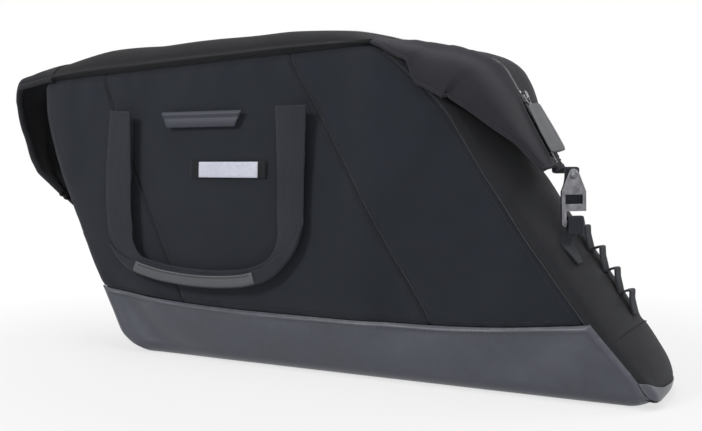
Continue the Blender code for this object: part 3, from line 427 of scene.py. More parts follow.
def cloth_place(tree):
    """The two UV coordinates, in metres along and across the cloth."""
    place = tree.nodes.new("ShaderNodeUVMap")
    place.uv_map = "cloth"
    split = tree.nodes.new("ShaderNodeSeparateXYZ")
    tree.links.new(place.outputs["UV"], split.inputs["Vector"])
    return split.outputs["X"], split.outputs["Y"]


# %% Woven threads
# A plain weave is sin(x) times sin(y): its sign says which thread is on top, and its size is the height of
# the crossing.
WEAVE, given, put = new_group("woven threads", {"Threads": 1200.0}, ("Height", "Shade"))
waves = [math_node(WEAVE, "SINE", times(WEAVE, side, given["Threads"], np.pi)) for side in cloth_place(WEAVE)]
crossing = times(WEAVE, *waves)
WEAVE.links.new(math_node(WEAVE, "POWER", math_node(WEAVE, "ABSOLUTE", crossing), 0.6), put["Height"])
WEAVE.links.new(stretch(WEAVE, crossing, -1.0, 1.0), put["Shade"])
print("nodes in the weave:", len(WEAVE.nodes))

# %% Webbing ribs
# Webbing has ribs along its length and a slant across them, so the second wave is shifted by the first
# coordinate.
RIBS, given, put = new_group("webbing ribs", {"Ribs": 520.0}, ("Height", "Shade"))
along, up = cloth_place(RIBS)
rib = math_node(RIBS, "SINE", times(RIBS, up, given["Ribs"], np.pi))
slant = math_node(RIBS, "ADD", along, times(RIBS, up, 0.6))
pick = math_node(RIBS, "SINE", times(RIBS, slant, given["Ribs"], 2 * np.pi))
height = math_node(RIBS, "ADD", math_node(RIBS, "ABSOLUTE", rib), times(RIBS, pick, 0.25))
RIBS.links.new(height, put["Height"])
RIBS.links.new(stretch(RIBS, pick, -1.0, 1.0), put["Shade"])
print("nodes in the ribs:", len(RIBS.nodes))

# %% Mottle, grain and wear
MOTTLE, given, put = new_group("mottle", {"Scale": 30.0}, ("Value",))
MOTTLE.links.new(stretch(MOTTLE, noise(MOTTLE, given["Scale"]), 0.3, 0.7), put["Value"])

GRAIN, given, put = new_group("grain", {"Scale": 900.0}, ("Height", "Pits"))
cells = GRAIN.nodes.new("ShaderNodeTexVoronoi")
cells.feature = "SMOOTH_F1"
GRAIN.links.new(given["Scale"], cells.inputs["Scale"])
GRAIN.links.new(GRAIN.nodes.new("ShaderNodeTexCoord").outputs["Object"], cells.inputs["Vector"])
GRAIN.links.new(cells.outputs["Distance"], put["Height"])
GRAIN.links.new(stretch(GRAIN, cells.outputs["Distance"], 0.55, 0.15), put["Pits"])

RUBBED, given, put = new_group("rubbed edges", {"Scale": 160.0, "Amount": 1.0}, ("Mask",))
rim = RUBBED.nodes.new("ShaderNodeAttribute")
rim.attribute_name = "edge"
patches = stretch(RUBBED, noise(RUBBED, given["Scale"]), 0.35, 0.7)
RUBBED.links.new(times(RUBBED, rim.outputs["Fac"], patches, given["Amount"]), put["Mask"])
print("shared effects:", ", ".join(group.name for group in (WEAVE, RIBS, MOTTLE, GRAIN, RUBBED)))


# %% [markdown]
# ## Finishes
# The outer side is a dark blue-black woven cloth, and the ends and the zip top are a greyer one. The zip
# top's flaps get a darker copy of that cloth, which is painted shade, and the right tail a lighter copy,
# which is painted light. The boot is a grey cloth with a satin coating. Webbing is ribbed, grip and pull are
# a grey rubbery wrap, and the hooks are plain metal. A picture of cloth could be laid on each piece, but it
# would repeat; here every finish is one Principled shader fed by the shared effects.

# %% Helpers for finishes
def new_look(name):
    """A material with its tree and its Principled shader."""
    look = bpy.data.materials.new(name)
    look.use_nodes = True
    return look, look.node_tree, look.node_tree.nodes["Principled BSDF"]


def use_group(tree, group, **values):
    """Places a shared effect in a material with its own values, and gives its outputs."""
    node = tree.nodes.new("ShaderNodeGroup")
    node.node_tree = group
    for label, value in values.items():
        node.inputs[label].default_value = value
    return node.outputs


def mix_colour(tree, factor, first, second):
    """A colour between two others; each is a colour or a socket."""
    node = tree.nodes.new("ShaderNodeMix")
    node.data_type = "RGBA"
    tree.links.new(factor, node.inputs["Factor"])
    for socket, value in ((node.inputs[6], first), (node.inputs[7], second)):
        if isinstance(value, tuple):
            socket.default_value = (*value, 1.0)
        else:
            tree.links.new(value, socket)
    return node.outputs[2]


def bump(tree, height, distance, strength=1.0, under=None):
    """A Bump node's normal, on top of another one."""
    node = tree.nodes.new("ShaderNodeBump")
    node.inputs["Strength"].default_value = strength
    node.inputs["Distance"].default_value = distance
    tree.links.new(height, node.inputs["Height"])
    if under is not None:
        tree.links.new(under, node.inputs["Normal"])
    return node.outputs["Normal"]


def put_in(tree, shader, colour, roughness, normal):
    """Joins what varies to the shader."""
    tree.links.new(colour, shader.inputs["Base Color"])
    tree.links.new(roughness, shader.inputs["Roughness"])
    tree.links.new(normal, shader.inputs["Normal"])


def rough_between(tree, value, low, high):
    """A roughness that moves from low to high with a value."""
    node = tree.nodes.new("ShaderNodeMapRange")
    node.inputs["To Min"].default_value = low
    node.inputs["To Max"].default_value = high
    tree.links.new(value, node.inputs["Value"])
    return node.outputs["Result"]


# %% Woven cloth
def woven(name, dark, light, worn, threads=1150.0, sheen=0.12, effect=WEAVE, size="Threads", depth=0.0003):
    """Cloth or webbing: two shades by the thread on top and by a slow mottle, paler where an edge is
    rubbed."""
    look, tree, shader = new_look(name)
    weave = use_group(tree, effect, **{size: threads})
    slow = use_group(tree, MOTTLE, Scale=22.0)["Value"]
    flecks = use_group(tree, MOTTLE, Scale=700.0)["Value"]
    rubbed = use_group(tree, RUBBED, Amount=0.2)["Mask"]
    shade = mixture(tree, (slow, 0.45), (flecks, 0.30), (weave["Shade"], 0.25))
    colour = mix_colour(tree, rubbed, mix_colour(tree, shade, dark, light), worn)
    fuzz = bump(tree, noise(tree, 1500.0, 2.0), 0.00015, 0.5)
    normal = bump(tree, weave["Height"], depth, 0.8, fuzz)
    put_in(tree, shader, colour, rough_between(tree, slow, 0.78, 0.92), normal)
    shader.inputs["Sheen Weight"].default_value = sheen
    shader.inputs["Sheen Roughness"].default_value = 0.45
    shader.inputs["Specular IOR Level"].default_value = 0.12
    return look


FRONT_CLOTH = woven("front cloth", (0.016, 0.019, 0.026), (0.030, 0.034, 0.044), (0.060, 0.064, 0.072),
                    sheen=0.10)
END_CLOTH = woven("end cloth", (0.017, 0.0175, 0.021), (0.033, 0.034, 0.040), (0.060, 0.061, 0.066))
# The flaps and the right tail are the end cloth too: the flaps get a darker copy, painted shade, and the
# right tail a lighter copy, painted light.
SHADED_FLAP_CLOTH = woven("zip top cloth in painted shade", (0.0085, 0.0087, 0.010), (0.017, 0.0174, 0.020), (0.036, 0.037, 0.040))
LIT_TAIL_CLOTH = woven("tail cloth in painted light", (0.0205, 0.0207, 0.026), (0.040, 0.0405, 0.050), (0.070, 0.071, 0.078))
BACK_CLOTH = woven("back cloth", (0.016, 0.017, 0.019), (0.030, 0.031, 0.034), (0.060, 0.060, 0.062), 900.0,
                   0.10)
WEBBING_LOOK = woven("webbing", (0.0215, 0.0230, 0.030), (0.0415, 0.0440, 0.056), (0.066, 0.068, 0.078),
                     560.0, 0.15, RIBS, "Ribs", 0.0005)
TAPE_LOOK = woven("zip tape", (0.012, 0.0125, 0.015), (0.024, 0.025, 0.030), (0.045, 0.046, 0.050), 1500.0)
THREAD = woven("thread", (0.024, 0.025, 0.030), (0.042, 0.043, 0.050), (0.050, 0.051, 0.056), 2400.0, 0.20)
print("materials so far, with the packed ones:", len(bpy.data.materials))


# %% Coated cloth, wrap and moulded plastic
def grained(name, dark, light, worn, rough, scale, depth, coat=0.0):
    """A coated or moulded surface: fine cells for the grain, slow blotches in colour and gloss, paler rubbed
    edges, which on the boot are partly wear and partly a painted highlight along its hem."""
    look, tree, shader = new_look(name)
    grain = use_group(tree, GRAIN, Scale=scale)
    slow = use_group(tree, MOTTLE, Scale=14.0)["Value"]
    scuffs = use_group(tree, MOTTLE, Scale=90.0)["Value"]
    rubbed = use_group(tree, RUBBED, Amount=0.6)["Mask"]
    shade = mixture(tree, (slow, 0.6), (scuffs, 0.4))
    colour = mix_colour(tree, rubbed, mix_colour(tree, shade, dark, light), worn)
    lumps = bump(tree, noise(tree, 60.0), 0.0006, 0.35)
    normal = bump(tree, grain["Height"], depth, 0.6, lumps)
    put_in(tree, shader, colour, rough_between(tree, shade, *rough), normal)
    shader.inputs["Coat Weight"].default_value = coat
    shader.inputs["Coat Roughness"].default_value = 0.35
    return look


# The boot's paler edges are partly wear and partly a painted highlight along its hem.
BOOT_LOOK = grained("coated boot cloth", (0.034, 0.037, 0.051), (0.053, 0.057, 0.079), (0.12, 0.124, 0.145),
                    (0.38, 0.50), 1400.0, 0.00012, 0.25)
WRAP_LOOK = grained("grey wrap", (0.068, 0.070, 0.078), (0.092, 0.094, 0.104), (0.16, 0.16, 0.17),
                    (0.50, 0.62), 1100.0, 0.0002)
TAB_LOOK = grained("label tab wrap", (0.027, 0.030, 0.044), (0.038, 0.041, 0.058), (0.07, 0.074, 0.09),
                   (0.48, 0.60), 1100.0, 0.0002)
PULL_LOOK = grained("grey pull", (0.100, 0.102, 0.110), (0.135, 0.137, 0.146), (0.20, 0.20, 0.21),
                    (0.42, 0.55), 1600.0, 0.0001)
PLASTIC_LOOK = grained("black plastic", (0.012, 0.012, 0.013), (0.022, 0.022, 0.024), (0.06, 0.06, 0.06),
                       (0.42, 0.55), 1800.0, 0.0001)
COIL_LOOK = grained("zip teeth", (0.014, 0.014, 0.015), (0.026, 0.026, 0.028), (0.05, 0.05, 0.05),
                    (0.30, 0.42), 2500.0, 0.00005)
print("materials so far, with the packed ones:", len(bpy.data.materials))


# %% Metal and reflective strip
def metal_look(name, dark, light, rough):
    """Cast and tumbled metal: small blotches in colour and gloss over a fine grain."""
    look, tree, shader = new_look(name)
    slow = use_group(tree, MOTTLE, Scale=120.0)["Value"]
    fine = use_group(tree, MOTTLE, Scale=1600.0)["Value"]
    colour = mix_colour(tree, slow, dark, light)
    put_in(tree, shader, colour, rough_between(tree, slow, *rough), bump(tree, fine, 0.00008, 0.4))
    shader.inputs["Metallic"].default_value = 1.0
    return look


STEEL_LOOK = metal_look("hook metal", (0.12, 0.121, 0.130), (0.22, 0.221, 0.235), (0.26, 0.38))
DARK_STEEL_LOOK = metal_look("dark zip metal", (0.10, 0.10, 0.105), (0.18, 0.18, 0.185), (0.32, 0.44))


def reflective(name):
    """A reflective strip: a pale film over fine glass beads, which show as close cells."""
    look, tree, shader = new_look(name)
    beads = use_group(tree, GRAIN, Scale=1300.0)
    slow = use_group(tree, MOTTLE, Scale=40.0)["Value"]
    film = mix_colour(tree, slow, (0.60, 0.62, 0.72), (0.70, 0.72, 0.82))
    colour = mix_colour(tree, beads["Pits"], film, (0.50, 0.52, 0.60))
    normal = bump(tree, beads["Height"], 0.00006, 0.4)
    put_in(tree, shader, colour, rough_between(tree, slow, 0.28, 0.40), normal)
    shader.inputs["Coat Weight"].default_value = 0.3
    return look


STRIP_LOOK = reflective("reflective strip")
print("materials, with the packed ones:", len(bpy.data.materials))

# %% [markdown]
# ## Lines of the bag
# These are the part's own edges and seams, repeated here because every sewn piece ends on one of them: two
# slanted ends, a level base, a top seam that climbs a little, the boot's seam and the two seams of the
# outer side.

# %% Lines of the bag
HALF_DEPTH = 0.070              # from the bag's middle to its two sides' seams
PANEL = 0.003                   # thickness of the padded cloth
CROWN = 0.014                   # how far the outer side swells at its middle
SEAM_SPARE = 0.0002             # room left between two sewn pieces
EDGE_SOFT = 0.010               # over which an edge's corners are rounded
LEFT_EDGE = ((0.0, -0.280), (0.007, -0.297), (0.013, -0.309), (0.020, -0.320), (0.110, -0.3685),
             (0.200, -0.4115), (0.235, -0.4265), (0.262, -0.4360), (0.290, -0.4415), (0.345, -0.4440))
RIGHT_EDGE = ((0.0, 0.316), (0.026, 0.300), (0.0745, 0.256), (0.151, 0.197), (0.222, 0.148),
              (0.278, 0.112), (0.306, 0.085), (0.330, 0.055), (0.3495, 0.025))
BACK_RECEDE = ((0.0, 0.024), (0.014, 0.015), (0.030, 0.009), (0.050, 0.005), (0.080, 0.002), (0.150, 0.0))
TOP_SEAM = ((-0.441, 0.3295), (0.025, 0.3497))
LEFT_SEAM = ((0.0648, -0.221), (0.3336, -0.346))
SLANT_SEAM = ((0.0625, 0.0945), (0.3451, -0.081))
BOOT_SEAM_Z = 0.0615
BOOT_SEAM_LIFT = 0.013
BOOT_MIDDLE_X = -0.040
BOOT_HALF_LENGTH = 0.295
BOOT_RADIUS = 0.014
BOOT_BACK_Z = 0.070


def left_x(z):
    """The left end's line, read from its table of heights."""
    return reading(LEFT_EDGE, z, EDGE_SOFT)


def right_x(z):
    """The right end's line on the outer side, read in the same way."""
    return reading(RIGHT_EDGE, z, EDGE_SOFT)


def right_end(z, y):
    """The right end's line across the bag: near the base it draws in evenly towards the back."""
    return right_x(z) - reading(BACK_RECEDE, z, 0.008) * np.clip(1 + y / HALF_DEPTH, 0.0, 2.0) / 2


def straight(line, value):
    """A straight line through two (value, result) pairs."""
    (start, first), (end, last) = line
    return first + (last - first) * (value - start) / (end - start)


def top_z(x):
    """Height of the top seam, a straight line."""
    return straight(TOP_SEAM, x)


def boot_z(x):
    """Height of the boot's seam on the outer side: it climbs to both ends as the cube of the way there."""
    return BOOT_SEAM_Z + BOOT_SEAM_LIFT * np.abs((x - BOOT_MIDDLE_X) / BOOT_HALF_LENGTH) ** 3


def patch(low, high, left, right, u, v):
    """Points (x, z) of a patch between two lines z(x) and two lines x(z): the blend of the low and high
    lines plus the blend of the side lines, less the blend of the four corners."""
    def corner(side, line):
        """Where two lines cross, found by going from one to the other and back."""
        x = side(0.2)
        for _ in range(9):
            x = side(line(x))
        return float(x)

    def pair(x, z):
        """Points from two arrays or numbers."""
        return np.stack(np.broadcast_arrays(x, z), -1)

    low_left, low_right = corner(left, low), corner(right, low)
    high_left, high_right = corner(left, high), corner(right, high)
    x_low = low_left + (low_right - low_left) * u
    x_high = high_left + (high_right - high_left) * u
    z_left = low(low_left) + (high(high_left) - low(low_left)) * v
    z_right = low(low_right) + (high(high_right) - low(low_right)) * v
    u, v = u[..., None], v[..., None]
    sides = pair(left(z_left), z_left) * (1 - u) + pair(right(z_right), z_right) * u
    bands = pair(x_low, low(x_low)) * (1 - v) + pair(x_high, high(x_high)) * v
    four = ((low_left, low), (low_right, low), (high_left, high), (high_right, high))
    corners = [pair(x, line(x)) for x, line in four]
    flat = (corners[0] * (1 - u) + corners[1] * u) * (1 - v) + (corners[2] * (1 - u) + corners[3] * u) * v
    return np.moveaxis(bands + sides - flat, -1, 0)


print("base is", round(float(right_x(0.0) - left_x(0.0)), 3), "m long, and the top seam",
      round(TOP_SEAM[1][0] - TOP_SEAM[0][0], 3), "m")

# %% [markdown]
# ## Letting the cloth settle
# A filled bag bulges low and slackens high. The outer side and the two ends are each pinned along their
# seams and left to Blender's cloth solver for a moment, under a light pressure from inside and their own
# weight. Only the movement is kept, capped, and added to the smooth surface, so seams and stitches can
# still be drawn after it.

# %% Letting the cloth settle
SETTLE_FRAMES = 20
SETTLE_WEIGHT = 0.4             # share of gravity
SOLVER = {"quality": 6, "mass": 0.3, "tension_stiffness": 30.0, "compression_stiffness": 30.0,
          "shear_stiffness": 10.0, "bending_stiffness": 6.0, "air_damping": 3.0, "shrink_min": -0.006}


def settle(name, points, held, pressure, cap):
    """How far each point of a grid moves when its cloth settles: zero where held is 1, at most cap
    anywhere."""
    mesh = cloth_mesh(name, points)
    trial = bpy.data.objects.new(name, mesh)
    bpy.context.scene.collection.objects.link(trial)
    pins = trial.vertex_groups.new(name="held")
    for level in np.unique(held):
        pins.add(np.flatnonzero(held.ravel() == level).tolist(), float(level), "REPLACE")
    solver = trial.modifiers.new("cloth", "CLOTH")
    for label, value in SOLVER.items():
        setattr(solver.settings, label, value)
    solver.settings.vertex_group_mass = "held"
    solver.settings.use_pressure = True
    solver.settings.uniform_pressure_force = pressure
    solver.settings.effector_weights.gravity = SETTLE_WEIGHT
    solver.point_cache.frame_start = 1
    solver.point_cache.frame_end = SETTLE_FRAMES
    scene = bpy.context.scene
    for number in range(1, SETTLE_FRAMES + 1):
        scene.frame_set(number)
    ready = trial.evaluated_get(bpy.context.evaluated_depsgraph_get())
    moved = np.empty(points.size, np.float32)
    ready.data.vertices.foreach_get("co", moved)
    scene.frame_set(1)
    bpy.data.objects.remove(trial, do_unlink=True)
    bpy.data.meshes.remove(mesh)
    shift = moved.reshape(points.shape).astype(float) - points
    size = np.linalg.norm(shift, axis=-1, keepdims=True)
    print(name, "settles by", round(float(size.max()) * 1000, 1), "mm, kept to", cap * 1000)
    return shift * np.tanh(size / cap) * cap / np.maximum(size, 1e-9)


def sample(field, u, v):
    """A grid of vectors read smoothly at shares u and v: the cubic B-spline blend of the 4 by 4 nearest
    values."""
    rows, columns = field.shape[:2]

    def weights(t):
        """The four cubic weights at a share t of the way between two values."""
        inner = ((3 * t**3 - 6 * t**2 + 4) / 6, (-3 * t**3 + 3 * t**2 + 3 * t + 1) / 6)
        return ((1 - t) ** 3 / 6, *inner, t**3 / 6)

    x, y = np.clip(u, 0.0, 1.0) * (columns - 1), np.clip(v, 0.0, 1.0) * (rows - 1)
    j, i = np.minimum(x.astype(int), columns - 2), np.minimum(y.astype(int), rows - 2)
    total = 0.0
    for a, row_weight in enumerate(weights(y - i)):
        for b, column_weight in enumerate(weights(x - j)):
            near = field[np.clip(i + a - 1, 0, rows - 1), np.clip(j + b - 1, 0, columns - 1)]
            total = total + (row_weight * column_weight)[..., None] * near
    return total


def hem_held(rows, columns):
    """1 on a grid's border and 0 inside."""
    held = np.zeros((rows, columns))
    held[[0, -1]] = 1.0
    held[:, [0, -1]] = 1.0
    return held


# %% [markdown]
# ## The outer side
# The outer side is three pieces of padded cloth joined by a steep seam on the left and a long slanted one
# on the right. Three separate sheets would have to be matched by hand along their seams, so one surface
# carries all three: a shallow crown, the settled cloth, and a hollow along every sewn line.

# %% The outer side's surface
FRONT_COLUMNS, FRONT_ROWS = 67, 37
FRONT_PRESSURE = 0.5
FRONT_CAP = 0.0035              # the most that the outer side's cloth may move
BOOT_HOLD = 0.3                 # how firmly the boot's seam is held meanwhile


def front_shares(x, z):
    """Where a point of the outer side lies: its share of the way along, and up."""
    return (x - left_x(z)) / (right_x(z) - left_x(z)), z / top_z(x)


def crowned_y(x, z):
    """The outer side without its cloth's movement: flat at its seams, swelling towards its middle."""
    s, t = front_shares(x, z)
    return -HALF_DEPTH - CROWN * np.maximum(4 * s * (1 - s), 0.0) * np.maximum(4 * t * (1 - t), 0.0)


def off_seam(seam, x, z):
    """Distance from a straight seam: the level distance times the cosine of the seam's lean."""
    (low, x_low), (high, x_high) = seam
    return (x - straight(seam, z)) * (high - low) / np.hypot(high - low, x_high - x_low)


u, v = np.meshgrid(np.linspace(0, 1, FRONT_COLUMNS), np.linspace(0, 1, FRONT_ROWS))
x, z = -0.1 + 0 * u, 0.34 * v
for _ in range(8):
    x = left_x(z) + (right_x(z) - left_x(z)) * u
    z = v * top_z(x)
held = hem_held(FRONT_ROWS, FRONT_COLUMNS)
held[(np.abs(z - boot_z(x)) < 0.006) & (held == 0)] = BOOT_HOLD
FRONT_SHIFT = settle("outer side", np.stack((x, crowned_y(x, z), z), -1), held, FRONT_PRESSURE, FRONT_CAP)


def front_y(x, z):
    """The outer side as it has settled: its crown plus the cloth's movement across the bag."""
    return crowned_y(x, z) + sample(FRONT_SHIFT, *front_shares(x, z))[..., 1]


def front_point(x, z, lift=0.0):
    """Points on the settled outer side, lifted outwards."""
    return np.stack(np.broadcast_arrays(x, front_y(x, z) - lift, z), -1)


SEAM_DIP = (0.0016, 0.0028)     # depth and width of the hollow along each sewn line
BOOT_DIP = (0.0024, 0.004)
TOP_DIP = (0.0060, 0.0065)
LEFT_DIP = (0.0016, 0.004)
RIGHT_DIP = (0.0050, 0.008)
FRONT_PUCKER = (0.0006, 0.018)  # height and length of the cloth's waves
FRONT_SLACK = (0.0007, 0.085)
PUCKER_REACH = 0.012            # how far from a seam the puckers have mostly died away


def front_panel(name, left, right, columns, rows=84):
    """One sewn piece of the outer side, hollowed along its seams and puckered a little beside them."""
    u, v = grid(columns, rows)
    x, z = patch(lambda x: boot_z(x) + SEAM_SPARE, lambda x: top_z(x) - SEAM_SPARE, left, right, u, v)
    points = front_point(x, z)
    ends = np.minimum(x - left_x(z), right_x(z) - x)
    sewn = np.minimum(np.abs(off_seam(LEFT_SEAM, x, z)), np.abs(off_seam(SLANT_SEAM, x, z)))
    level = np.minimum(z - boot_z(x), top_z(x) - z)
    dip = (valley(sewn, *SEAM_DIP) + valley(z - boot_z(x), *BOOT_DIP) + valley(top_z(x) - z, *TOP_DIP)
           + valley(x - left_x(z), *LEFT_DIP) + valley(right_x(z) - x, *RIGHT_DIP))
    nearest = np.minimum(np.minimum(sewn, level), ends)
    pucker = uneven(points, FRONT_PUCKER, 3) * np.exp(-nearest / PUCKER_REACH)
    points[..., 1] += dip + pucker - uneven(points, FRONT_SLACK, 4)
    panel = sheet(name, points, FRONT_CLOTH, PANEL, stands_for=(name,))
    cut_to(points)
    return panel


print("outer side stands out by", round(float(-HALF_DEPTH - front_y(-0.1, 0.17)) * 1000, 1), "mm")

# %% The outer side's three pieces
front_left = front_panel("front_panel_left", left_x, lambda z: straight(LEFT_SEAM, z) - SEAM_SPARE, 52)
front_middle = front_panel("front_panel_middle", lambda z: straight(LEFT_SEAM, z) + SEAM_SPARE,
                           lambda z: straight(SLANT_SEAM, z) - SEAM_SPARE, 96)
front_right = front_panel("front_panel_right", lambda z: straight(SLANT_SEAM, z) + SEAM_SPARE, right_x, 96)
print("outer side:", sum(len(p.data.polygons) for p in (front_left, front_middle, front_right)), "faces")

# %% The outer side's stitching
SEAM_STITCH_LOW = 0.070
SEAM_STITCH_SPARE = 0.008       # from the top seam down to the first stitch
SEAM_STITCH_ASIDE = 0.0042
SEAM_STITCH_LIFT = 0.0002
END_STITCH = (0.085, 0.235)     # lowest stitch beside an end's seam, and the row's height
END_STITCH_IN = {"right": 0.012, "left": 0.010}
END_STITCH_LIFT = -0.0004
t = np.linspace(0.0, 1.0, 120)
front_lines = []
for seam in (LEFT_SEAM, SLANT_SEAM):
    z = SEAM_STITCH_LOW + (top_z(straight(seam, 0.34)) - SEAM_STITCH_SPARE - SEAM_STITCH_LOW) * t
    for aside in (-SEAM_STITCH_ASIDE, SEAM_STITCH_ASIDE):
        front_lines.append((front_point(straight(seam, z) + aside, z, SEAM_STITCH_LIFT), -ACROSS))
z = END_STITCH[0] + END_STITCH[1] * t
for x in (right_x(z) - END_STITCH_IN["right"], left_x(z) + END_STITCH_IN["left"]):
    front_lines.append((front_point(x, z, END_STITCH_LIFT), -ACROSS))
stitches("front_stitching", front_lines, THREAD)
print("stitched lines on the outer side:", len(front_lines))

# %% [markdown]
# ## The boot
# The boot is one band of coated cloth that turns under the bag, with a folded hem along its top and its
# ends, an underside, and a lower band at the back. A box with a bevel would miss the curved seam, so the
# bands are drawn from their seams down and round a quarter circle. The hem is a small step in the surface,
# because it catches the light.

# %% The boot
BOOT_TURN = 0.72                # share of a band's height above its turn under the bag
CORNER_RUN = 0.024              # length over which the underside turns up at the right end
CORNER_RISE = 0.0075
HEM_WIDTH = 0.0075
HEM_STEP = 0.0012               # how far the folded hem stands out
HEM_DIP = (0.0022, 0.0022)      # depth and width of the hollow at its edge
BOOT_SLACK = (0.0009, 0.075)    # height and length of the coated cloth's waves
BOOT_PUCKER = (0.0004, 0.022)
BOOT_BACK_DIP = (0.002, 0.003)
BOOT_BACK_SLACK = (0.0003, 0.09)
BASE_SLACK = (0.0003, 0.12)


def corner_rise(x, end):
    """How far the underside turns up towards the right end: a parabola over its last stretch."""
    return CORNER_RISE * np.clip((x - end + CORNER_RUN) / CORNER_RUN, 0.0, 1.0) ** 2


def turn_under(u, v, hand):
    """Where a band turns under the bag, on the side given by hand: a quarter circle of the boot's
    radius."""
    lead = np.pi / 2 * np.clip((v - BOOT_TURN) / (1 - BOOT_TURN), 0.0, 1.0)
    z = BOOT_RADIUS * (1 - np.sin(lead))
    y = hand * (HALF_DEPTH - BOOT_RADIUS * (1 - np.cos(lead)))
    end = right_end(z + PANEL * np.sin(lead), y)
    x = left_x(z) + (end - left_x(z)) * u
    return lead, np.stack((x, y, z + corner_rise(x, end) * np.sin(lead)), -1)


u, v = grid(180, 56, 0.5)
x, z = patch(lambda x: BOOT_RADIUS + 0 * x, lambda x: boot_z(x) - SEAM_SPARE, left_x, right_x, u,
             1 - np.clip(v / BOOT_TURN, 0.0, 1.0))
points = front_point(x, z)
lead, under = turn_under(u, v, -1.0)
under[..., 1] += (front_y(under[..., 0], BOOT_RADIUS + 0 * u) + HALF_DEPTH) * np.cos(lead)
points = np.where((v < BOOT_TURN)[..., None], points, under)
ends = np.minimum(u, 1 - u) * (right_x(z) - left_x(z))
brink = np.minimum(ends * 0.8, np.where(v < BOOT_TURN, boot_z(x) - z, 1.0))
fade = np.cos(lead)
hem = HEM_STEP * (1 - step_up(brink, HEM_WIDTH - 0.001, HEM_WIDTH))
points[..., 1] += fade * (valley(brink, *HEM_DIP) - hem)
slack = uneven(points, BOOT_SLACK, 11) + uneven(points, BOOT_PUCKER, 12) * np.exp(-brink / 0.02)
points[..., 1] -= fade * slack
boot_front = sheet("boot_front", points, BOOT_LOOK, PANEL, stands_for=("boot_front",))
cut_to(points)

u, v = grid(90, 40, 0.5)
z = BOOT_BACK_Z + (BOOT_RADIUS - BOOT_BACK_Z) * np.clip(v / BOOT_TURN, 0.0, 1.0)
end = right_end(z, HALF_DEPTH)
flat = np.stack((left_x(z) + (end - left_x(z)) * u, HALF_DEPTH + 0 * z, z), -1)
lead, under = turn_under(u, v, 1.0)
points = np.where((v < BOOT_TURN)[..., None], flat, under)
brink = np.minimum(np.minimum(u, 1 - u) * 0.5, np.where(v < BOOT_TURN, BOOT_BACK_Z - z, 1.0))
points[..., 1] -= np.cos(lead) * (valley(brink, *BOOT_BACK_DIP) + uneven(points, BOOT_BACK_SLACK, 13))
boot_back = sheet("boot_back", points, BOOT_LOOK, PANEL, stands_for=("boot_back",))
cut_to(points)

BASE_START = -0.304
BASE_FLAT = -0.280              # from here on the underside is level
BASE_START_RISE = 0.0095
u, v = grid(100, 24, 0.5)
y = (HALF_DEPTH - BOOT_RADIUS + 0.001) * (1 - 2 * v)
end = right_end(0.003 + 0 * y, y)
x = BASE_START + (end - BASE_START) * u
upturn = np.clip((BASE_FLAT - x) / (BASE_FLAT - BASE_START), 0.0, 1.0)
z = BASE_START_RISE * upturn**1.5 + corner_rise(x, end)
slack = BASE_SLACK[0] + uneven(np.stack((x, y, z), -1), BASE_SLACK, 14)
base = np.stack((x, y, z + SEAM_SPARE + slack), -1)
base_panel = sheet("base_panel", base, BOOT_LOOK, PANEL, stands_for=("base_panel",))
cut_to(base)

BOOT_STITCH_END = 0.252
BOOT_STITCH_ROWS = ((-0.0055, 0.0006), (0.0045, -0.0002))   # above the seam, and out from the cloth
t = np.linspace(0.02, 0.98, 300)
stitch_start = float(left_x(0.07))
x = stitch_start + (BOOT_STITCH_END - stitch_start) * t
boot_lines = [(front_point(x, boot_z(x) + above, lift), -ACROSS) for above, lift in BOOT_STITCH_ROWS]
stitches("boot_stitching", boot_lines, THREAD)
print("boot:", len(boot_front.data.polygons) + len(boot_back.data.polygons), "faces")

# %% [markdown]
# ## End gussets
# Each end is one long strip of cloth between the outer and the inner side. The right one is full and
# smooth, with a cross seam near its foot; the left one is slack and folds in along its middle. Both are the
# end's own line moved out by a swell, and not a strip bent by hand, so that they meet both sides all the way
# up. Both roll in at their seams.

# %% End gussets
GUSSET_OFF = 0.0012
RIGHT_SWELL = ((0.0, 0.004), (0.010, 0.013), (0.02, 0.017), (0.05, 0.0205), (0.09, 0.0225), (0.12, 0.023),
               (0.20, 0.023), (0.28, 0.013), (0.31, 0.008), (0.34, 0.004))
LEFT_SWELL = ((0.0, 0.0), (0.03, 0.003), (0.10, 0.007), (0.18, 0.013), (0.26, 0.012), (0.34, 0.008))
LEFT_PINCH = 0.55
PINCH_WIDTH = 0.35
CROSS_SEAM_Z = 0.060
EDGE_STEP = 0.006
RIGHT_ROLL = (0.0060, 0.006)    # how deep and how wide a gusset rolls in at its seams
LEFT_ROLL = (0.0100, 0.014)
LEFT_ARCH = 0.021
RIGHT_SPAN = (0.0035, 0.340)    # heights of a gusset's foot and top
LEFT_SPAN = (0.010, 0.318)
FOOT_DIP = (0.0012, 0.004)      # depth and width of the hollow along a gusset's foot
CROSS_DIP = (0.0012, 0.003)
CROSS_STITCH = (-0.058, 0.040)  # from where to where across the bag the cross seam's stitches run
GUSSET_SLACK = (0.0012, 0.060)  # height and length of the cloth's waves
GUSSET_PUCKER = (0.0006, 0.02)
GUSSET_PRESSURE = 0.6
GUSSET_CAP = 0.004


def end_frame(line, z, hand):
    """A point on an end's line, and the way out of the bag there: the line's slope turned by a quarter."""
    lean = (line(z + EDGE_STEP) - line(z - EDGE_STEP)) / (2 * EDGE_STEP)
    run = unit(np.stack((lean, 0 * z, 1 + 0 * z), -1))
    out = hand * np.stack((run[..., 2], 0 * z, -run[..., 0]), -1)
    return np.stack((line(z), 0 * z, z), -1), out


def gusset_right(z, y, lift=0.0):
    """Outer face of the right gusset: the end's line, moved out by a swell that is a parabola across the
    bag."""
    base, out = end_frame(lambda height: right_end(height, y), z, 1.0)
    swell = reading(RIGHT_SWELL, z, 0.012) * (1 - (y / HALF_DEPTH) ** 2)
    return base + out * (GUSSET_OFF + PANEL + swell + lift)[..., None] + ACROSS * y[..., None], out


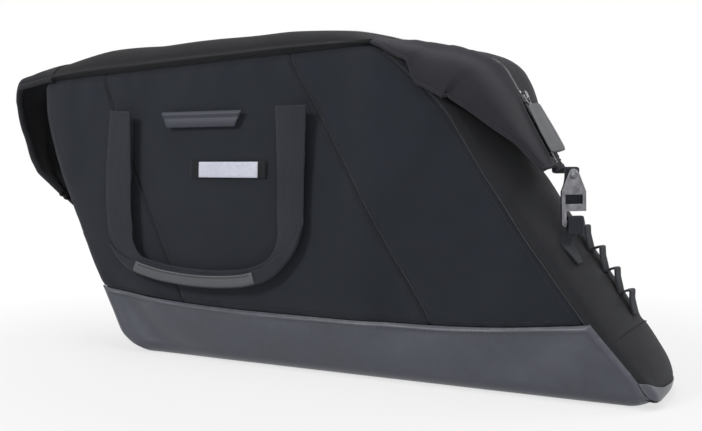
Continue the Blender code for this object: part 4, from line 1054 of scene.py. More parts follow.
def gusset_left(z, y, lift=0.0):
    """Outer face of the left gusset: the same, with a fold taken out of the middle of its swell."""
    base, out = end_frame(left_x, z, -1.0)
    w = y / HALF_DEPTH
    share = (1 - w * w) * (1 - LEFT_PINCH * np.exp(-((w / PINCH_WIDTH) ** 2))) / (1 - LEFT_PINCH / 2)
    swell = reading(LEFT_SWELL, z, 0.012) * share
    return base + out * (GUSSET_OFF + PANEL + swell + lift)[..., None] + ACROSS * y[..., None], out


def turn_z(y):
    """Height of the boot's turn under the bag, at a place across it: a quarter circle near each side."""
    share = np.clip((np.abs(y) - HALF_DEPTH + BOOT_RADIUS) / BOOT_RADIUS, 0.0, 1.0)
    return BOOT_RADIUS * (1 - np.sqrt(1 - share**2))


def gusset(name, surface, span, arch, rolled, seed):
    """A gusset's grid, settled between its seams, rolled in at its edges by a depth and a width, and
    hollowed along its cross seam. Its top edge is half an ellipse that rises by arch under its tail. Gives
    the piece and the settled surface."""
    low, high = span

    def flat(columns, rows, crowd):
        """Heights and places across, on a grid from the foot to the arched top."""
        u, v = grid(columns, rows, crowd)
        y = (HALF_DEPTH - SEAM_SPARE) * (2 * u - 1)
        top = high + arch * np.sqrt(1 - (y / HALF_DEPTH) ** 2)
        return low + turn_z(y) + (top - low - turn_z(y)) * v, y

    z, y = flat(17, 41, 0.0)
    moved = settle(name + " cloth", surface(z, y)[0], hem_held(41, 17), GUSSET_PRESSURE, GUSSET_CAP)

    def settled(z, y, lift=0.0):
        """The surface with the cloth's movement added."""
        points, out = surface(z, y, lift)
        return points + sample(moved, (y / HALF_DEPTH + 1) / 2, (z - low) / (high - low)), out

    z, y = flat(44, 130, 0.5)
    points, out = settled(z, y)
    rim = HALF_DEPTH - np.abs(y)
    roll = (valley(rim, *rolled) + valley(z - low - turn_z(y), *FOOT_DIP)
            + valley(z - CROSS_SEAM_Z, *CROSS_DIP))
    pucker = uneven(points, GUSSET_PUCKER, seed + 1) * np.exp(-rim / 0.015)
    slack = uneven(points, GUSSET_SLACK, seed) + pucker
    points = points + out * (slack * (1 - np.exp(-rim / 0.006)) - roll)[..., None]
    strip = sheet(name, points, END_CLOTH, PANEL, stands_for=(name,))
    cut_to(points)
    return strip, settled


end_right, on_right = gusset("end_gusset_right", gusset_right, RIGHT_SPAN, 0.0, RIGHT_ROLL, 21)
end_left, on_left = gusset("end_gusset_left", gusset_left, LEFT_SPAN, LEFT_ARCH, LEFT_ROLL, 23)
y = np.linspace(*CROSS_STITCH, 60)
cross_lines = [surface(CROSS_SEAM_Z - 0.004 + 0 * y, y) for surface in (on_right, on_left)]
stitches("gusset_stitching", cross_lines, THREAD)
print("gussets:", len(end_right.data.polygons) + len(end_left.data.polygons), "faces")

# %% [markdown]
# ## Seam binding
# Inside the bag each seam of the outer side is bound with a tape, which also keeps daylight out of the gap
# between two sewn pieces. A tape is a narrow strip that follows its seam behind the panels.

# %% Seam binding
BINDING_HALF = 0.008
BINDING_IN = 0.0075             # from the panels' outer face to the tape
BINDING_LOW = 0.050
BINDING_SPARE = 0.006           # from a tape's upper end to the top seam
BOOT_BINDING = (-0.335, 0.590)  # left end and length of the tape behind the boot's seam
u, v = grid(9, 90)
aside = BINDING_HALF * (2 * u - 1)
bound = {}
for name, seam in (("left", LEFT_SEAM), ("slant", SLANT_SEAM)):
    z = BINDING_LOW + (top_z(straight(seam, 0.34)) - BINDING_SPARE - BINDING_LOW) * v
    bound[name] = (straight(seam, z) + aside, z)
x = BOOT_BINDING[0] + BOOT_BINDING[1] * v
bound["boot"] = (x, boot_z(x) + aside)
for name, (x, z) in bound.items():
    points = front_point(x, z, -BINDING_IN)
    tape = sheet("seam_binding_" + name, points, TAPE_LOOK, 0.0008)
    cut_to(points)
print("bound seams:", len(bound))

# %% [markdown]
# ## The boot's toe
# The boot's cloth turns the corner at the right end and covers the gusset's foot, higher at the front than
# at the back. It lies on the settled gusset, so it is the same surface lifted by its own thickness.

# %% The boot's toe
TOE_TOP = ((-0.070, 0.024), (-0.055, 0.015), (-0.035, 0.010), (0.0, 0.0085),
           (0.070, 0.0100))     # place across, and the toe's height there
TOE_LOW = 0.0037
TOE_LIFT = 0.0013
u, v = grid(70, 24, 0.4)
y = (HALF_DEPTH - SEAM_SPARE) * (2 * u - 1)
low = TOE_LOW + turn_z(y)
z = low + (np.maximum(reading(TOE_TOP, y, 0.010), low + 0.003) - low) * v
points, out = on_right(z, y, TOE_LIFT)
points = points - out * 0.7 * valley(HALF_DEPTH - np.abs(y), *RIGHT_ROLL)[..., None]
boot_toe = sheet("boot_toe", points, BOOT_LOOK, 0.0012)
cut_to(points)
print("toe:", len(boot_toe.data.polygons), "faces")

# %% [markdown]
# ## The back
# The back lies flat against the rack, stretched over a stiff board, so it needs no settling: a plane with
# rolled edges, a very slow unevenness, and a double row of stitches round it. The two boards keep their
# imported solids.

# %% The back
BACK_DIP = (0.003, 0.005)
BACK_SLACK = (0.0002, 0.11)
BACK_STITCH_Z = (0.082, 0.318)
BACK_STITCH_X = (-0.405, 0.42)      # left end and length of the row under the top seam
BACK_STITCH_IN = 0.0002             # how far the stitches lie in the cloth


def back_right_x(z):
    """The right end's line on the back."""
    return right_end(z, HALF_DEPTH)


u, v = grid(90, 60)
x, z = patch(lambda x: BOOT_BACK_Z + 0 * x, lambda x: top_z(x) - SEAM_SPARE, left_x, back_right_x, u, v)
points = np.stack((x, HALF_DEPTH + 0 * x, z), -1)
ends = np.minimum(x - left_x(z), back_right_x(z) - x)
rim = np.minimum(ends, np.minimum(top_z(x) - z, z - BOOT_BACK_Z))
points[..., 1] -= valley(rim, *BACK_DIP) + BACK_SLACK[0] + uneven(points, BACK_SLACK, 31)
back = sheet("back_panel", points, BACK_CLOTH, PANEL, stands_for=("back_panel",))
cut_to(points)
back_lines = []
t = np.linspace(0.0, 1.0, 200)
for inset in (0.010, 0.014):
    z = BACK_STITCH_Z[0] + (BACK_STITCH_Z[1] - BACK_STITCH_Z[0]) * t
    x = BACK_STITCH_X[0] + BACK_STITCH_X[1] * t
    for spot in ((left_x(z) + inset, z), (back_right_x(z) - inset, z), (x, top_z(x) - inset)):
        back_lines.append((np.stack((spot[0], HALF_DEPTH - BACK_STITCH_IN + 0 * t, spot[1]), -1), ACROSS))
stitches("back_stitching", back_lines, THREAD)
for board in ("back_board", "base_board"):
    frame["nodes"][board].data.materials.clear()
    frame["nodes"][board].data.materials.append(PLASTIC_LOOK)
print("back:", len(back.data.polygons), "faces")

# %% [markdown]
# ## The zip top
# Two soft flaps rise from the top seams and meet at the zip. They are puffed, so each has a ridge and the
# zip lies in a shallow valley between them. A flap's foot stays sewn to the bag and the rest folds back;
# here both flaps are free pieces, baked in place and shut.

# %% Flaps of the zip top
FLAP_LEFT_X = -0.430
FLAP_RIGHT_X = 0.0245
FLAP_RISE = ((-0.430, 0.0200), (-0.395, 0.0270), (-0.362, 0.0320), (-0.330, 0.0315), (-0.285, 0.0282),
             (-0.240, 0.0292), (-0.100, 0.0262), (-0.020, 0.0195), (0.0065, 0.0137), (0.0245, 0.0080))
FLAP_LUMPS = 0.12               # how much a flap's puff swells and shrinks along the bag
FLAP_CLEAR = 0.003
ZIP_HALF = 0.0045
ZIP_SINK = 0.004                # how far the zip lies below the solids' crest
FLAP_PUFF = {-1.0: 0.006, 1.0: 0.009}
FLAP_TUCK = 0.0050              # how far a flap's foot is drawn in at its seam
FLAP_HANG = 0.0050              # how far it hangs over the seam above that
HANG_PLACE = 0.085              # share of the flap's height where it hangs furthest out
HANG_WIDTH = 0.06
FLAP_END = 0.30                 # share of the puff that is left at the right end


def crest_z(x):
    """Height of the zip along the top: the top seam plus the flaps' rise, less how far the zip sinks."""
    return top_z(x) + FLAP_CLEAR + reading(FLAP_RISE, x, 0.022) - ZIP_SINK


def flap_point(u, v, hand):
    """A flap rises from its seam like a quarter of an ellipse, puffed out along its normal by a half sine
    wave that swells and shrinks slowly along the bag."""
    x = FLAP_LEFT_X + (FLAP_RIGHT_X - FLAP_LEFT_X) * u
    turn = np.pi / 2 * v
    foot = top_z(x) - 0.0004
    y = ZIP_HALF + (HALF_DEPTH - FLAP_TUCK - ZIP_HALF) * np.cos(turn)
    y = y + FLAP_HANG * np.exp(-(((v - HANG_PLACE) / HANG_WIDTH) ** 2)) * step_up(v, 0.0, HANG_WIDTH)
    z = foot + (crest_z(x) - foot) * np.sin(turn)
    lumps = ripple(np.stack((x, 0.3 * y, 0 * x + hand), -1), 0.11, 41)
    swell = FLAP_PUFF[hand] * (1 - (1 - FLAP_END) * step_up(x, -0.060, FLAP_RIGHT_X))
    swell = swell * np.sin(np.pi * v) ** 0.5 * (1 + FLAP_LUMPS * lumps)
    return np.stack((x, hand * (y + swell * np.cos(turn)), z + swell * np.sin(turn)), -1)


def fold_with(piece):
    """Bakes a piece's place into its mesh; nothing blends it from the bag to a flap's body."""
    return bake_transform(piece)


for side, hand in (("front", -1.0), ("back", 1.0)):
    u, v = grid(150, 40, 0.3)
    points = flap_point(u, v, hand)
    points[..., 2] -= valley(v * 0.09, 0.0010, 0.004)
    # The flaps' darker cloth is painted shade.
    flap = sheet("top_flap_" + side, points, SHADED_FLAP_CLOTH, PANEL, None, ("top_flap_" + side,))
    fold_with(flap)
    cut_to(points)
print("zip top is", round(FLAP_RIGHT_X - FLAP_LEFT_X, 3), "m long, its crest at",
      round(float(crest_z(-0.1)), 3), "m")

# %% [markdown]
# ## Zip tape and teeth
# A tape is sewn along each flap's edge and carries a row of moulded teeth. A tooth is a short rounded bar
# with a few dozen faces, repeated at an even pitch; the two rows are half a pitch apart, so that they mesh
# when the zip is shut.

# %% Zip tape and teeth
TOOTH_PITCH = 0.0028
TOOTH_HALF = 0.0022             # half a tooth's reach across the zip
TOOTH_SECTION = (0.00105, 0.0012)     # half its size along the zip and upwards
TOOTH_ASIDE = 0.0010
TOOTH_LIFT = 0.0012             # from the flaps' edge up to a tooth's middle
TAPE_SHARES = (0.86, 1.0)       # from where to where up a flap its tape is sewn
TAPE_THICK = 0.0009
TAPE_LIFT = 0.0006
TAPE_EDGE = 0.0014              # from the zip's middle to the tape's edge
ZIP_STITCH = 0.885              # how far up a flap its zip is stitched
ZIP_STITCH_LIFT = 0.0007


def teeth(centres, run, across, out):
    """Rings of a row of teeth: four rings along each tooth, smaller at its two ends, each a rounded
    square."""
    reach = np.array((-1.0, -0.7, 0.7, 1.0))[:, None, None]
    size = np.array((0.55, 1.0, 1.0, 0.55))[:, None, None]
    flat = squarish(angles(8) + np.pi / 8, (0.6, 0.6))
    section = (flat[0][None, :, None] * TOOTH_SECTION[0] * run[:, None, None]
               + flat[1][None, :, None] * TOOTH_SECTION[1] * out[:, None, None])
    return centres[:, None, None] + across[:, None, None] * TOOTH_HALF * reach + section * size


for side, hand in (("front", -1.0), ("back", 1.0)):
    edge_u, edge_v = np.meshgrid(np.linspace(0.002, 0.998, 150), np.linspace(*TAPE_SHARES, 6))
    tape = flap_point(edge_u, edge_v, hand)
    tape[..., 2] += TAPE_LIFT
    tape[-1, :, 1] = hand * TAPE_EDGE
    sheet("zip_tape_" + side, tape, TAPE_LOOK, TAPE_THICK, "flap_" + side)
    spots = np.arange(FLAP_LEFT_X + 0.004, FLAP_RIGHT_X - 0.003, TOOTH_PITCH) + (hand + 1) / 4 * TOOTH_PITCH
    centres = np.stack((spots, hand * TOOTH_ASIDE + 0 * spots, crest_z(spots) + TOOTH_LIFT), -1)
    run = unit(np.gradient(centres, axis=0))
    every = np.broadcast_to(ACROSS, run.shape)
    rings = teeth(centres, run, every, np.cross(run, every))
    skin("zip_teeth_" + side, rings, COIL_LOOK, "flap_" + side, ("zip_teeth_" + side,))
    line = flap_point(np.linspace(0.01, 0.99, 200), np.full(200, ZIP_STITCH), hand) + UP * ZIP_STITCH_LIFT
    stitches("zip_stitching_" + side, [(line, UP)], THREAD, "flap_" + side)
print("teeth in a row:", len(spots))

# %% [markdown]
# ## Tails
# The zip top runs past both ends as a tail that is folded down over the end and held by a hook. A tail is
# an arch carried along a path: wide and deep at the knee, narrowing to its end tab. The right one is smooth
# and carries the closed zip between two raised lips; the left one is slack, with folds along its length.
# The cloth solver could fold them, but a hooked tail has few folds, and formulas keep each in its place.

# %% Tail paths
RIGHT_TAIL = ((0.0258, 0.0, 0.3562), (0.038, 0.0, 0.3535), (0.066, 0.0, 0.3470), (0.090, 0.0, 0.3425),
              (0.113, 0.0, 0.3370), (0.132, 0.0008, 0.3290), (0.1435, -0.0005, 0.3190),
              (0.1475, -0.0022, 0.3135), (0.2085, -0.0275, 0.2215))
RIGHT_TAIL_HALF = ((0.0, 0.070), (0.187, 0.0735), (0.25, 0.0775), (0.44, 0.0775), (0.57, 0.069),
                   (0.76, 0.053), (1.0, 0.026))     # share of its length, and half its width
RIGHT_TAIL_DROP = ((0.0, 0.0069), (0.05, 0.009), (0.10, 0.0125), (0.187, 0.0165), (0.22, 0.029),
                   (0.25, 0.038), (0.334, 0.043), (0.428, 0.046), (0.55, 0.040), (0.70, 0.026),
                   (0.85, 0.012), (1.0, 0.006))     # share, and how far its edges lie below its ridge
LEFT_TAIL = ((-0.4312, 0.0, 0.3490), (-0.446, 0.0, 0.3475), (-0.472, 0.0, 0.3415), (-0.498, 0.0, 0.3325),
             (-0.5095, 0.0, 0.314), (-0.509, 0.0, 0.280), (-0.501, -0.005, 0.246), (-0.481, -0.012, 0.212),
             (-0.452, -0.020, 0.183))
LEFT_TAIL_HALF = ((0.0, 0.070), (0.25, 0.068), (0.5, 0.057), (0.66, 0.046), (0.83, 0.040), (1.0, 0.019))
LEFT_TAIL_DROP = ((0.0, 0.0195), (0.2, 0.018), (0.42, 0.012), (0.83, 0.006), (1.0, 0.004))
TAIL_SOFT = 0.02
TAIL_CHANGE = 0.14              # share of a tail's length over which its section leaves the flaps' own
TAIL_SLACK = {"right": (0.0012, 0.055), "left": (0.0012, 0.060)}    # height and length of the cloth's waves
TAIL_HEM = {"right": 0.0020, "left": 0.0036}                        # radius of the rolled hem
LIP_RISE = 0.0022
LIP_ASIDE = 0.0105              # from the zip to a lip's crest
LIP_WIDTH = 0.0045
SHOULDER_RISE = 0.0056          # of the fold that follows the lip line on the outer side
SHOULDER_WIDTH = (0.0024, 0.012)    # how fast it falls towards the zip, and away from it
TAIL_PUFF = 0.006               # fullness of the right tail's back half
LEFT_FOLD_RISE = 0.0035
LEFT_CREASES = ((0.62, 0.035), (0.80, 0.03))    # place and width of the left tail's two creases
CREASE_DEPTH = 0.0008
LIP_LINE = ((0.0, 0.034), (0.25, 0.031), (0.40, 0.024), (0.52, 0.014),
            (0.70, 0.011))      # share, and how far from the zip


def tail_frame(path, share):
    """Centre, run, way across and way out of a tail at shares of its length."""
    centre, run = walk(path, share), way(path, share)
    across = unit(ACROSS - run * (run @ ACROSS)[..., None])
    out = np.cross(run, across)
    away = np.sum(out * (centre - INSIDE), -1, keepdims=True)
    return centre, run, across, np.where(away > 0, out, -out)


def tail_point(path, half, drop, share, v, front=0.5):
    """A tail's section is an arch: the sine and the cosine of an angle, raised to a power. The power is 1,
    an ellipse, where the tail leaves the flaps, and falls to 0.5, a flat-topped arch, or to front on the
    outer side. Gives the points, the way out, and where each lies from side to side, from -1 to 1."""
    centre, _, _, out = tail_frame(path, share)
    q = 2 * v - 1
    turn = np.pi / 2 * np.sign(q) * (3 * q**2 - 2 * np.abs(q) ** 3)
    power = 1 + (np.where(q < 0, front, 0.5) - 1) * step_up(share, 0.0, TAIL_CHANGE)
    wide = np.sign(turn) * np.abs(np.sin(turn)) ** power
    fall = (1 - np.maximum(np.cos(turn), 0.0) ** power) * reading(drop, share, TAIL_SOFT)
    points = centre + ACROSS * (wide * reading(half, share, TAIL_SOFT))[..., None] - out * fall[..., None]
    return points, out, wide


def flap_swell(share, wide, left):
    """The puff that a tail keeps from the flaps where it leaves them: a half sine wave on each side of the
    zip."""
    size = np.where(wide < 0, FLAP_PUFF[-1.0], FLAP_PUFF[1.0]) * left * (1 - step_up(share, 0.0, TAIL_CHANGE))
    return size * (2 * np.abs(wide) * np.sqrt(np.maximum(1 - wide**2, 0.0))) ** 0.65


def tail(side, points, look):
    """A tail of cloth with a rolled hem round its two long edges and its end."""
    piece = sheet("zip_tail_" + side, points, look, PANEL, stands_for=("zip_tail_" + side,))
    rim = np.concatenate((points[:, 0], points[-1, 1:-1], points[::-1, -1]))
    hem = skin("tail_hem_" + side, tube(rim, TAIL_HEM[side], UP + 0.2), look)
    cut_to(points)
    return piece


print("tails are", [round(float(running(path, 0)[-1]), 3) for path in (RIGHT_TAIL, LEFT_TAIL)], "m long")

# %% The right tail
u, v = np.meshgrid(spread(130, 0.2), spread(80, 0.3), indexing="ij")
points, out, wide = tail_point(RIGHT_TAIL, RIGHT_TAIL_HALF, RIGHT_TAIL_DROP, u, v, 0.70)
aside = np.abs(wide) * reading(RIGHT_TAIL_HALF, u, TAIL_SOFT)
begun = step_up(u, 0.03, 0.15)
lips = LIP_RISE * np.exp(-(((aside - LIP_ASIDE) / LIP_WIDTH) ** 2)) * begun
ahead = aside - reading(LIP_LINE, u, 0.03)
near, far = SHOULDER_WIDTH
shoulder = SHOULDER_RISE * np.exp(-((ahead / np.where(ahead > 0, far, near)) ** 2)) * (wide < 0) * begun
shoulder = shoulder * (1 - step_up(u, 0.55, 0.75))
puff = TAIL_PUFF * step_up(wide, 0.1, 0.5) * (1 - step_up(wide, 0.8, 1.0)) * step_up(u, 0.02, 0.25)
puff = puff * (1 - step_up(u, 0.55, 0.8)) + flap_swell(u, wide, FLAP_END)
slack = uneven(points, TAIL_SLACK["right"], 51) * step_up(aside, 0.012, 0.03) * begun
# The right tail's lighter cloth is painted light.
tail_right = tail("right", points + out * (lips + shoulder + puff + slack)[..., None], LIT_TAIL_CLOTH)
print("right tail:", len(tail_right.data.polygons), "faces")

# %% The left tail
u, v = np.meshgrid(spread(110, 0.2), spread(80, 0.3), indexing="ij")
points, out, wide = tail_point(LEFT_TAIL, LEFT_TAIL_HALF, LEFT_TAIL_DROP, u, v)
begun = step_up(u, 0.05, 0.35)
folds = LEFT_FOLD_RISE * np.sin(wide * 5.2 + 2.0 * u + 0.6) * begun * step_up(np.abs(wide), 0.10, 0.30)
creases = -CREASE_DEPTH * sum(np.exp(-(((u - place) / width) ** 2)) for place, width in LEFT_CREASES)
slack = uneven(points, TAIL_SLACK["left"], 53) * begun + flap_swell(u, wide, 1.0)
move = folds + creases * step_up(np.abs(wide), 0.1, 0.4) + slack
tail_left = tail("left", points + out * move[..., None], END_CLOTH)
print("left tail:", len(tail_left.data.polygons), "faces")

# %% Closed zip on the tails
CHAIN_SHARES = (0.006, 0.985)
CHAIN_FILL = 0.98               # share of a tail's length that its teeth fill
CHAIN_LIFT = 0.0014
CHAIN_ASIDE = 0.0009
TAIL_STITCH_ASIDE = 0.0135
TAIL_STITCH_LIFT = {"right": LIP_RISE, "left": 0.0006}
for side, path in (("right", RIGHT_TAIL), ("left", LEFT_TAIL)):
    share = np.linspace(*CHAIN_SHARES, int(running(path, 0)[-1] * CHAIN_FILL / TOOTH_PITCH * 2))
    centre, run, across, out = tail_frame(path, share)
    hand = np.where(np.arange(len(share)) % 2, 1.0, -1.0)[:, None]
    rings = teeth(centre + out * CHAIN_LIFT + across * hand * CHAIN_ASIDE, run, across, out)
    skin("zip_chain_" + side, rings, COIL_LOOK, "bag", ("zip_chain_" + side,))
    lines = []
    centre, _, across, out = tail_frame(path, np.linspace(0.03, 0.97, 160))
    for hand in (-1.0, 1.0):
        aside = across * hand * TAIL_STITCH_ASIDE
        lines.append((centre + aside + out * TAIL_STITCH_LIFT[side], out))
    stitches("tail_stitching_" + side, lines, THREAD)
print("the closed zip has", len(share), "teeth on the left tail")

# %% [markdown]
# ## Metal and plastic pieces whose solids are right
# Cast and moulded pieces already have their real outline in the part. A copy of each solid, welded and
# given rounded edges by a Bevel modifier, is all that they need: a sharp edge is what makes a solid look
# like a drawing.

# %% Rounded copies of rigid solids
EDGE_STEPS = 3                  # faces across a rounded edge


def eased(node, look, width):
    """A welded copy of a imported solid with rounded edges, riding on the solid's own body."""
    mesh = frame["nodes"][node].data.copy()
    mesh.name = node + "_eased"
    welded = bmesh.new()
    welded.from_mesh(mesh)
    bmesh.ops.remove_doubles(welded, verts=welded.verts, dist=0.000002)
    bmesh.ops.dissolve_limit(welded, angle_limit=0.02, verts=welded.verts, edges=welded.edges)
    welded.to_mesh(mesh)
    welded.free()
    mesh.materials.clear()
    body = next(name for name, members in frame["record"]["behaviour"]["bodies"].items() if node in members)
    piece = dress(mesh, look, body, (node,))
    edges = piece.modifiers.new("rounded", "BEVEL")
    edges.width = width
    edges.segments = EDGE_STEPS
    edges.limit_method = "ANGLE"
    edges.harden_normals = True
    return piece


for node in ("side_hook_right", "side_hook_left"):
    eased(node, STEEL_LOOK, 0.0007)
for node in ("zip_slider", "slider_bridge"):
    eased(node, DARK_STEEL_LOOK, 0.0004)
for node, width in (("mounting_rail", 0.0008), ("rack_hook_left", 0.0010), ("rack_hook_right", 0.0010),
                    ("hook_gate_left", 0.0006), ("hook_gate_right", 0.0006), ("lower_catch", 0.0010),
                    ("catch_base", 0.0004)):
    eased(node, PLASTIC_LOOK, width)

# %% [markdown]
# ## Rivets and pins
# Rivets are turned pieces. A cylinder would do for the shank but not for a domed head, so each is a short
# profile of radius and height, carried round its axis with enough sides to look round.

# %% Rivets and pins
LAYER = 0.0004                  # room between two neighbouring pieces
RIVET_RADIUS = 0.0022
HEAD_RADIUS = 0.0042
HEAD_HEIGHT = 0.0014
HEAD_ROUND = 0.0003             # how far the flat head's rim is broken
POINT = 0.0001                  # least radius of a turned piece, at its axis
HOOK_THICK = 0.0025
HOOK_FACE = HOOK_THICK / 2 + LAYER
TAB_WEB = 0.0022
RIGHT_RIVET = np.array((0.2285, -0.038, 0.2135))
LEFT_RIVET = np.array((-0.421, -0.024, 0.150))


def hook_axes(run, out):
    """A hook's run, way across and way out, made square to each other by two cross products."""
    run, out = unit(np.array(run)), unit(np.array(out))
    wide = unit(np.cross(out, run))
    return run, wide, np.cross(run, wide)


RIGHT_HOOK = hook_axes((0.02, -0.01, -1.0), (0.76, -0.65, 0.0))
LEFT_HOOK = hook_axes((0.48, 0.0, -0.877), (-0.87, -0.06, -0.48))


def turned(name, profile, place, axis, sides):
    """A turned piece of steel from its profile."""
    rings = turned_rings(np.array(profile), np.array(place), axis, sides)
    return skin(name, rings, STEEL_LOOK, "bag", (name,))


def rivet(name, outer, inner, place, axis, head=HEAD_RADIUS):
    """A rivet between two faces: a domed head outside, a shank, and a flat head inside."""
    dome = np.pi / 2 * np.linspace(0.0, 1.0, 7)
    crown = [(max(head * np.sin(turn), POINT), outer + HEAD_HEIGHT * np.cos(turn)) for turn in dome]
    foot = inner - HEAD_HEIGHT
    profile = crown + [(RIVET_RADIUS, outer), (RIVET_RADIUS, inner), (head, inner), (head, foot + HEAD_ROUND),
                       (head - HEAD_ROUND, foot), (POINT, foot)]
    return turned(name, profile, place, axis, 32)


BOARD = 0.0026                  # thickness of the back board
BOARD_INNER = -PANEL - LAYER - BOARD - LAYER
PLATE_OUT = 0.0102              # where a rivet's head sits over a rack hook's plate, from the back
CATCH_OUT = 0.0092              # the same over the lower catch
CATCH_HEAD = 0.0050
CATCH_PLACE = (-0.080, HALF_DEPTH, 0.130)
RACK_HOOK_X = {"left": -0.295, "right": -0.035}
RAIL_RIVET_Z = (0.2825, 0.2945)
PIN = ((POINT, 0.0125), (0.0010, 0.0125), (0.0012, 0.0123), (0.0012, -0.0123), (0.0010, -0.0125),
       (POINT, -0.0125))        # radius and height
PIN_PLACE = (0.0818, 0.3035)    # how far back and how high a gate's pin is
ALONG = np.array((1.0, 0.0, 0.0))
fixings = []
for side, x in RACK_HOOK_X.items():
    for number, z in enumerate(RAIL_RIVET_Z, 1):
        name = f"rail_rivet_{side}_{number}"
        fixings.append(rivet(name, PLATE_OUT, BOARD_INNER, (x, HALF_DEPTH, z), ACROSS))
    fixings.append(turned("gate_pin_" + side, PIN, (x, *PIN_PLACE), ALONG, 24))
fixings.append(rivet("catch_rivet", CATCH_OUT, BOARD_INNER, CATCH_PLACE, ACROSS, CATCH_HEAD))
for side, place, axes in (("right", RIGHT_RIVET, RIGHT_HOOK), ("left", LEFT_RIVET, LEFT_HOOK)):
    fixings.append(rivet("hook_rivet_" + side, HOOK_FACE, -HOOK_FACE - TAB_WEB - LAYER, place, axes[2]))
print("rivets and pins:", len(fixings))

# %% [markdown]
# ## Zip pull
# The slider carries a wire link and a flat rubbery pull. The pull is a slab whose section is a rounded
# rectangle, wider at its free end, carried along its length; two shallow grooves run down its face.

# %% Zip pull
SLIDER_RUN = unit(np.array((0.53884, -0.22436, -0.81198)))
SLIDER_ACROSS = unit(np.array((0.12406, 0.97451, -0.18694)))
SLIDER_OUT = unit(np.array((0.83322, 0.0, 0.55294)))
LINK_PLACE = np.array((0.16834, -0.00882, 0.29317))
LINK_WIRE = 0.0009
LINK_HALF = 0.0040
LINK_LENGTH = 0.011
PULL_LENGTH = 0.060
PULL_WIDTH = 0.017
PULL_THICK = 0.0035
PULL_TWIST = np.radians(36.0)   # how far the hanging pull has turned to face the outer side
PULL_STAND = 0.0030
GROOVE_DEPTH = 0.0004
GROOVE_PLACE = 0.55             # share of the half width
GROOVE_WIDTH = 0.08

long, wide = squarish(angles(48), (0.35, 0.35))
link = (LINK_PLACE + SLIDER_RUN * (LINK_LENGTH / 2 * (1 + long))[:, None]
        + SLIDER_ACROSS * (LINK_HALF * wide)[:, None])
run = unit(np.roll(link, -1, 0) - np.roll(link, 1, 0))
side = np.cross(run, SLIDER_OUT)
ring = angles(10)[:, None]
rings = link[:, None] + LINK_WIRE * (np.cos(ring) * SLIDER_OUT + np.sin(ring) * side[:, None])
skin("pull_link", rings[None], DARK_STEEL_LOOK, "pull", ("pull_link",), loop=True)

s = np.linspace(-1.0, 1.0, 64)
end_round = (1 - np.abs(s) ** 14) ** (1 / 5)
half = PULL_WIDTH / 2 * (0.86 + 0.14 * step_up(s, -0.9, 0.4)) * np.maximum(end_round, 0.05)
thick = PULL_THICK / 2 * np.maximum(end_round, 0.2) * (0.90 + 0.10 * step_up(s, -0.6, 0.2))
wide, deep = squarish(angles(56), (0.45, 0.55))
groove = GROOVE_DEPTH * np.exp(-(((np.abs(wide) - GROOVE_PLACE) / GROOVE_WIDTH) ** 2)) * (deep > 0.5)
groove = groove[None] * (step_up(s, -0.75, -0.65) - step_up(s, 0.65, 0.75))[:, None]
pull_wide = SLIDER_ACROSS * np.cos(PULL_TWIST) + SLIDER_OUT * np.sin(PULL_TWIST)
pull_face = SLIDER_OUT * np.cos(PULL_TWIST) - SLIDER_ACROSS * np.sin(PULL_TWIST)
middle = LINK_PLACE + SLIDER_RUN * (LINK_LENGTH + LINK_WIRE + 2 * LAYER + PULL_LENGTH / 2 * (1 + s))[:, None]
rings = (middle[:, None] + SLIDER_OUT * PULL_STAND + pull_wide * (half[:, None] * wide)[..., None]
         + pull_face * (thick[:, None] * deep - groove)[..., None])
skin("zip_pull", rings[None], PULL_LOOK, "pull", ("zip_pull",))
print("pull:", PULL_LENGTH * 1000, "by", PULL_WIDTH * 1000, "mm")

# %% [markdown]
# ## Hook tabs and loops
# Each tail ends in a short webbing tab that is riveted to the back of a metal hook and backs its window,
# and the hook's finger sits in a sewn loop. A curve object could give the strips, but its twist is hard to
# steer. So both are ribbons: a middle line, a way across that is given at every point, and a thickness.

# %% Hook tabs and loops
HOOK_RIVET = 0.006              # from the hook's top end to its rivet
HOOK_FINGER = 0.05275           # from the hook's top end to the middle of its finger
TAB_HALF = ((0.0, 0.012), (0.45, 0.008), (0.60, 0.008), (0.80, 0.0112),
            (1.0, 0.0112))      # share of a tab's length, and half its width
TAB_ROUTE = ((-0.010, 0.0012), (0.002, 0.0008), (HOOK_RIVET, 0.0))  # along from a tail's end, and out from it
TAB_TONGUE = 0.031              # how far the tab goes on behind the hook, past its rivet
TAB_TWIST = 2.6                 # how early along its length a tab has turned to face its hook
LOOP_WEB = 0.0014
LOOP_HALF = 0.0085              # half the loop's width
LOOP_SIDE = 0.0015              # how far the loop sits beside the hook's middle
LOOP_GAP = 0.0016               # from the hook's faces to the middle of the loop's webbing
LOOP_REACH = (-0.0040, 0.010)   # down from the finger's middle: where the loop turns, and its free end
LOOP_TWIST = 1.8                # how early along its leg a loop has turned to face its hook
LOOP_OFF = 0.0012
LOOP_FOOT = {"right": (0.118, 0.127, 0.136),
             "left": (0.060, 0.070, 0.080)}     # heights where its leg is sewn down


def web(name, path, across, half, thick, columns=9):
    """Webbing along a path: its normal is the path's direction crossed with the way across it."""
    run = unit(np.gradient(path, axis=0))
    normal = unit(np.cross(run, across))
    wide = np.linspace(-1.0, 1.0, columns)
    half = np.broadcast_to(half, len(path))[:, None, None]
    middle = path[:, None] + across[:, None] * half * wide[:, None]
    rings = ribbon(middle, np.repeat(normal[:, None], columns, 1), thick)
    return skin(name, rings, WEBBING_LOOK, "bag", (name,))


def turned_from(first, last, share, haste):
    """A way across that turns along a path: two directions mixed, the second one's share rising by haste."""
    lean = np.clip(haste * share, 0.0, 1.0)[:, None]
    return unit(first * (1 - lean) + last * lean)


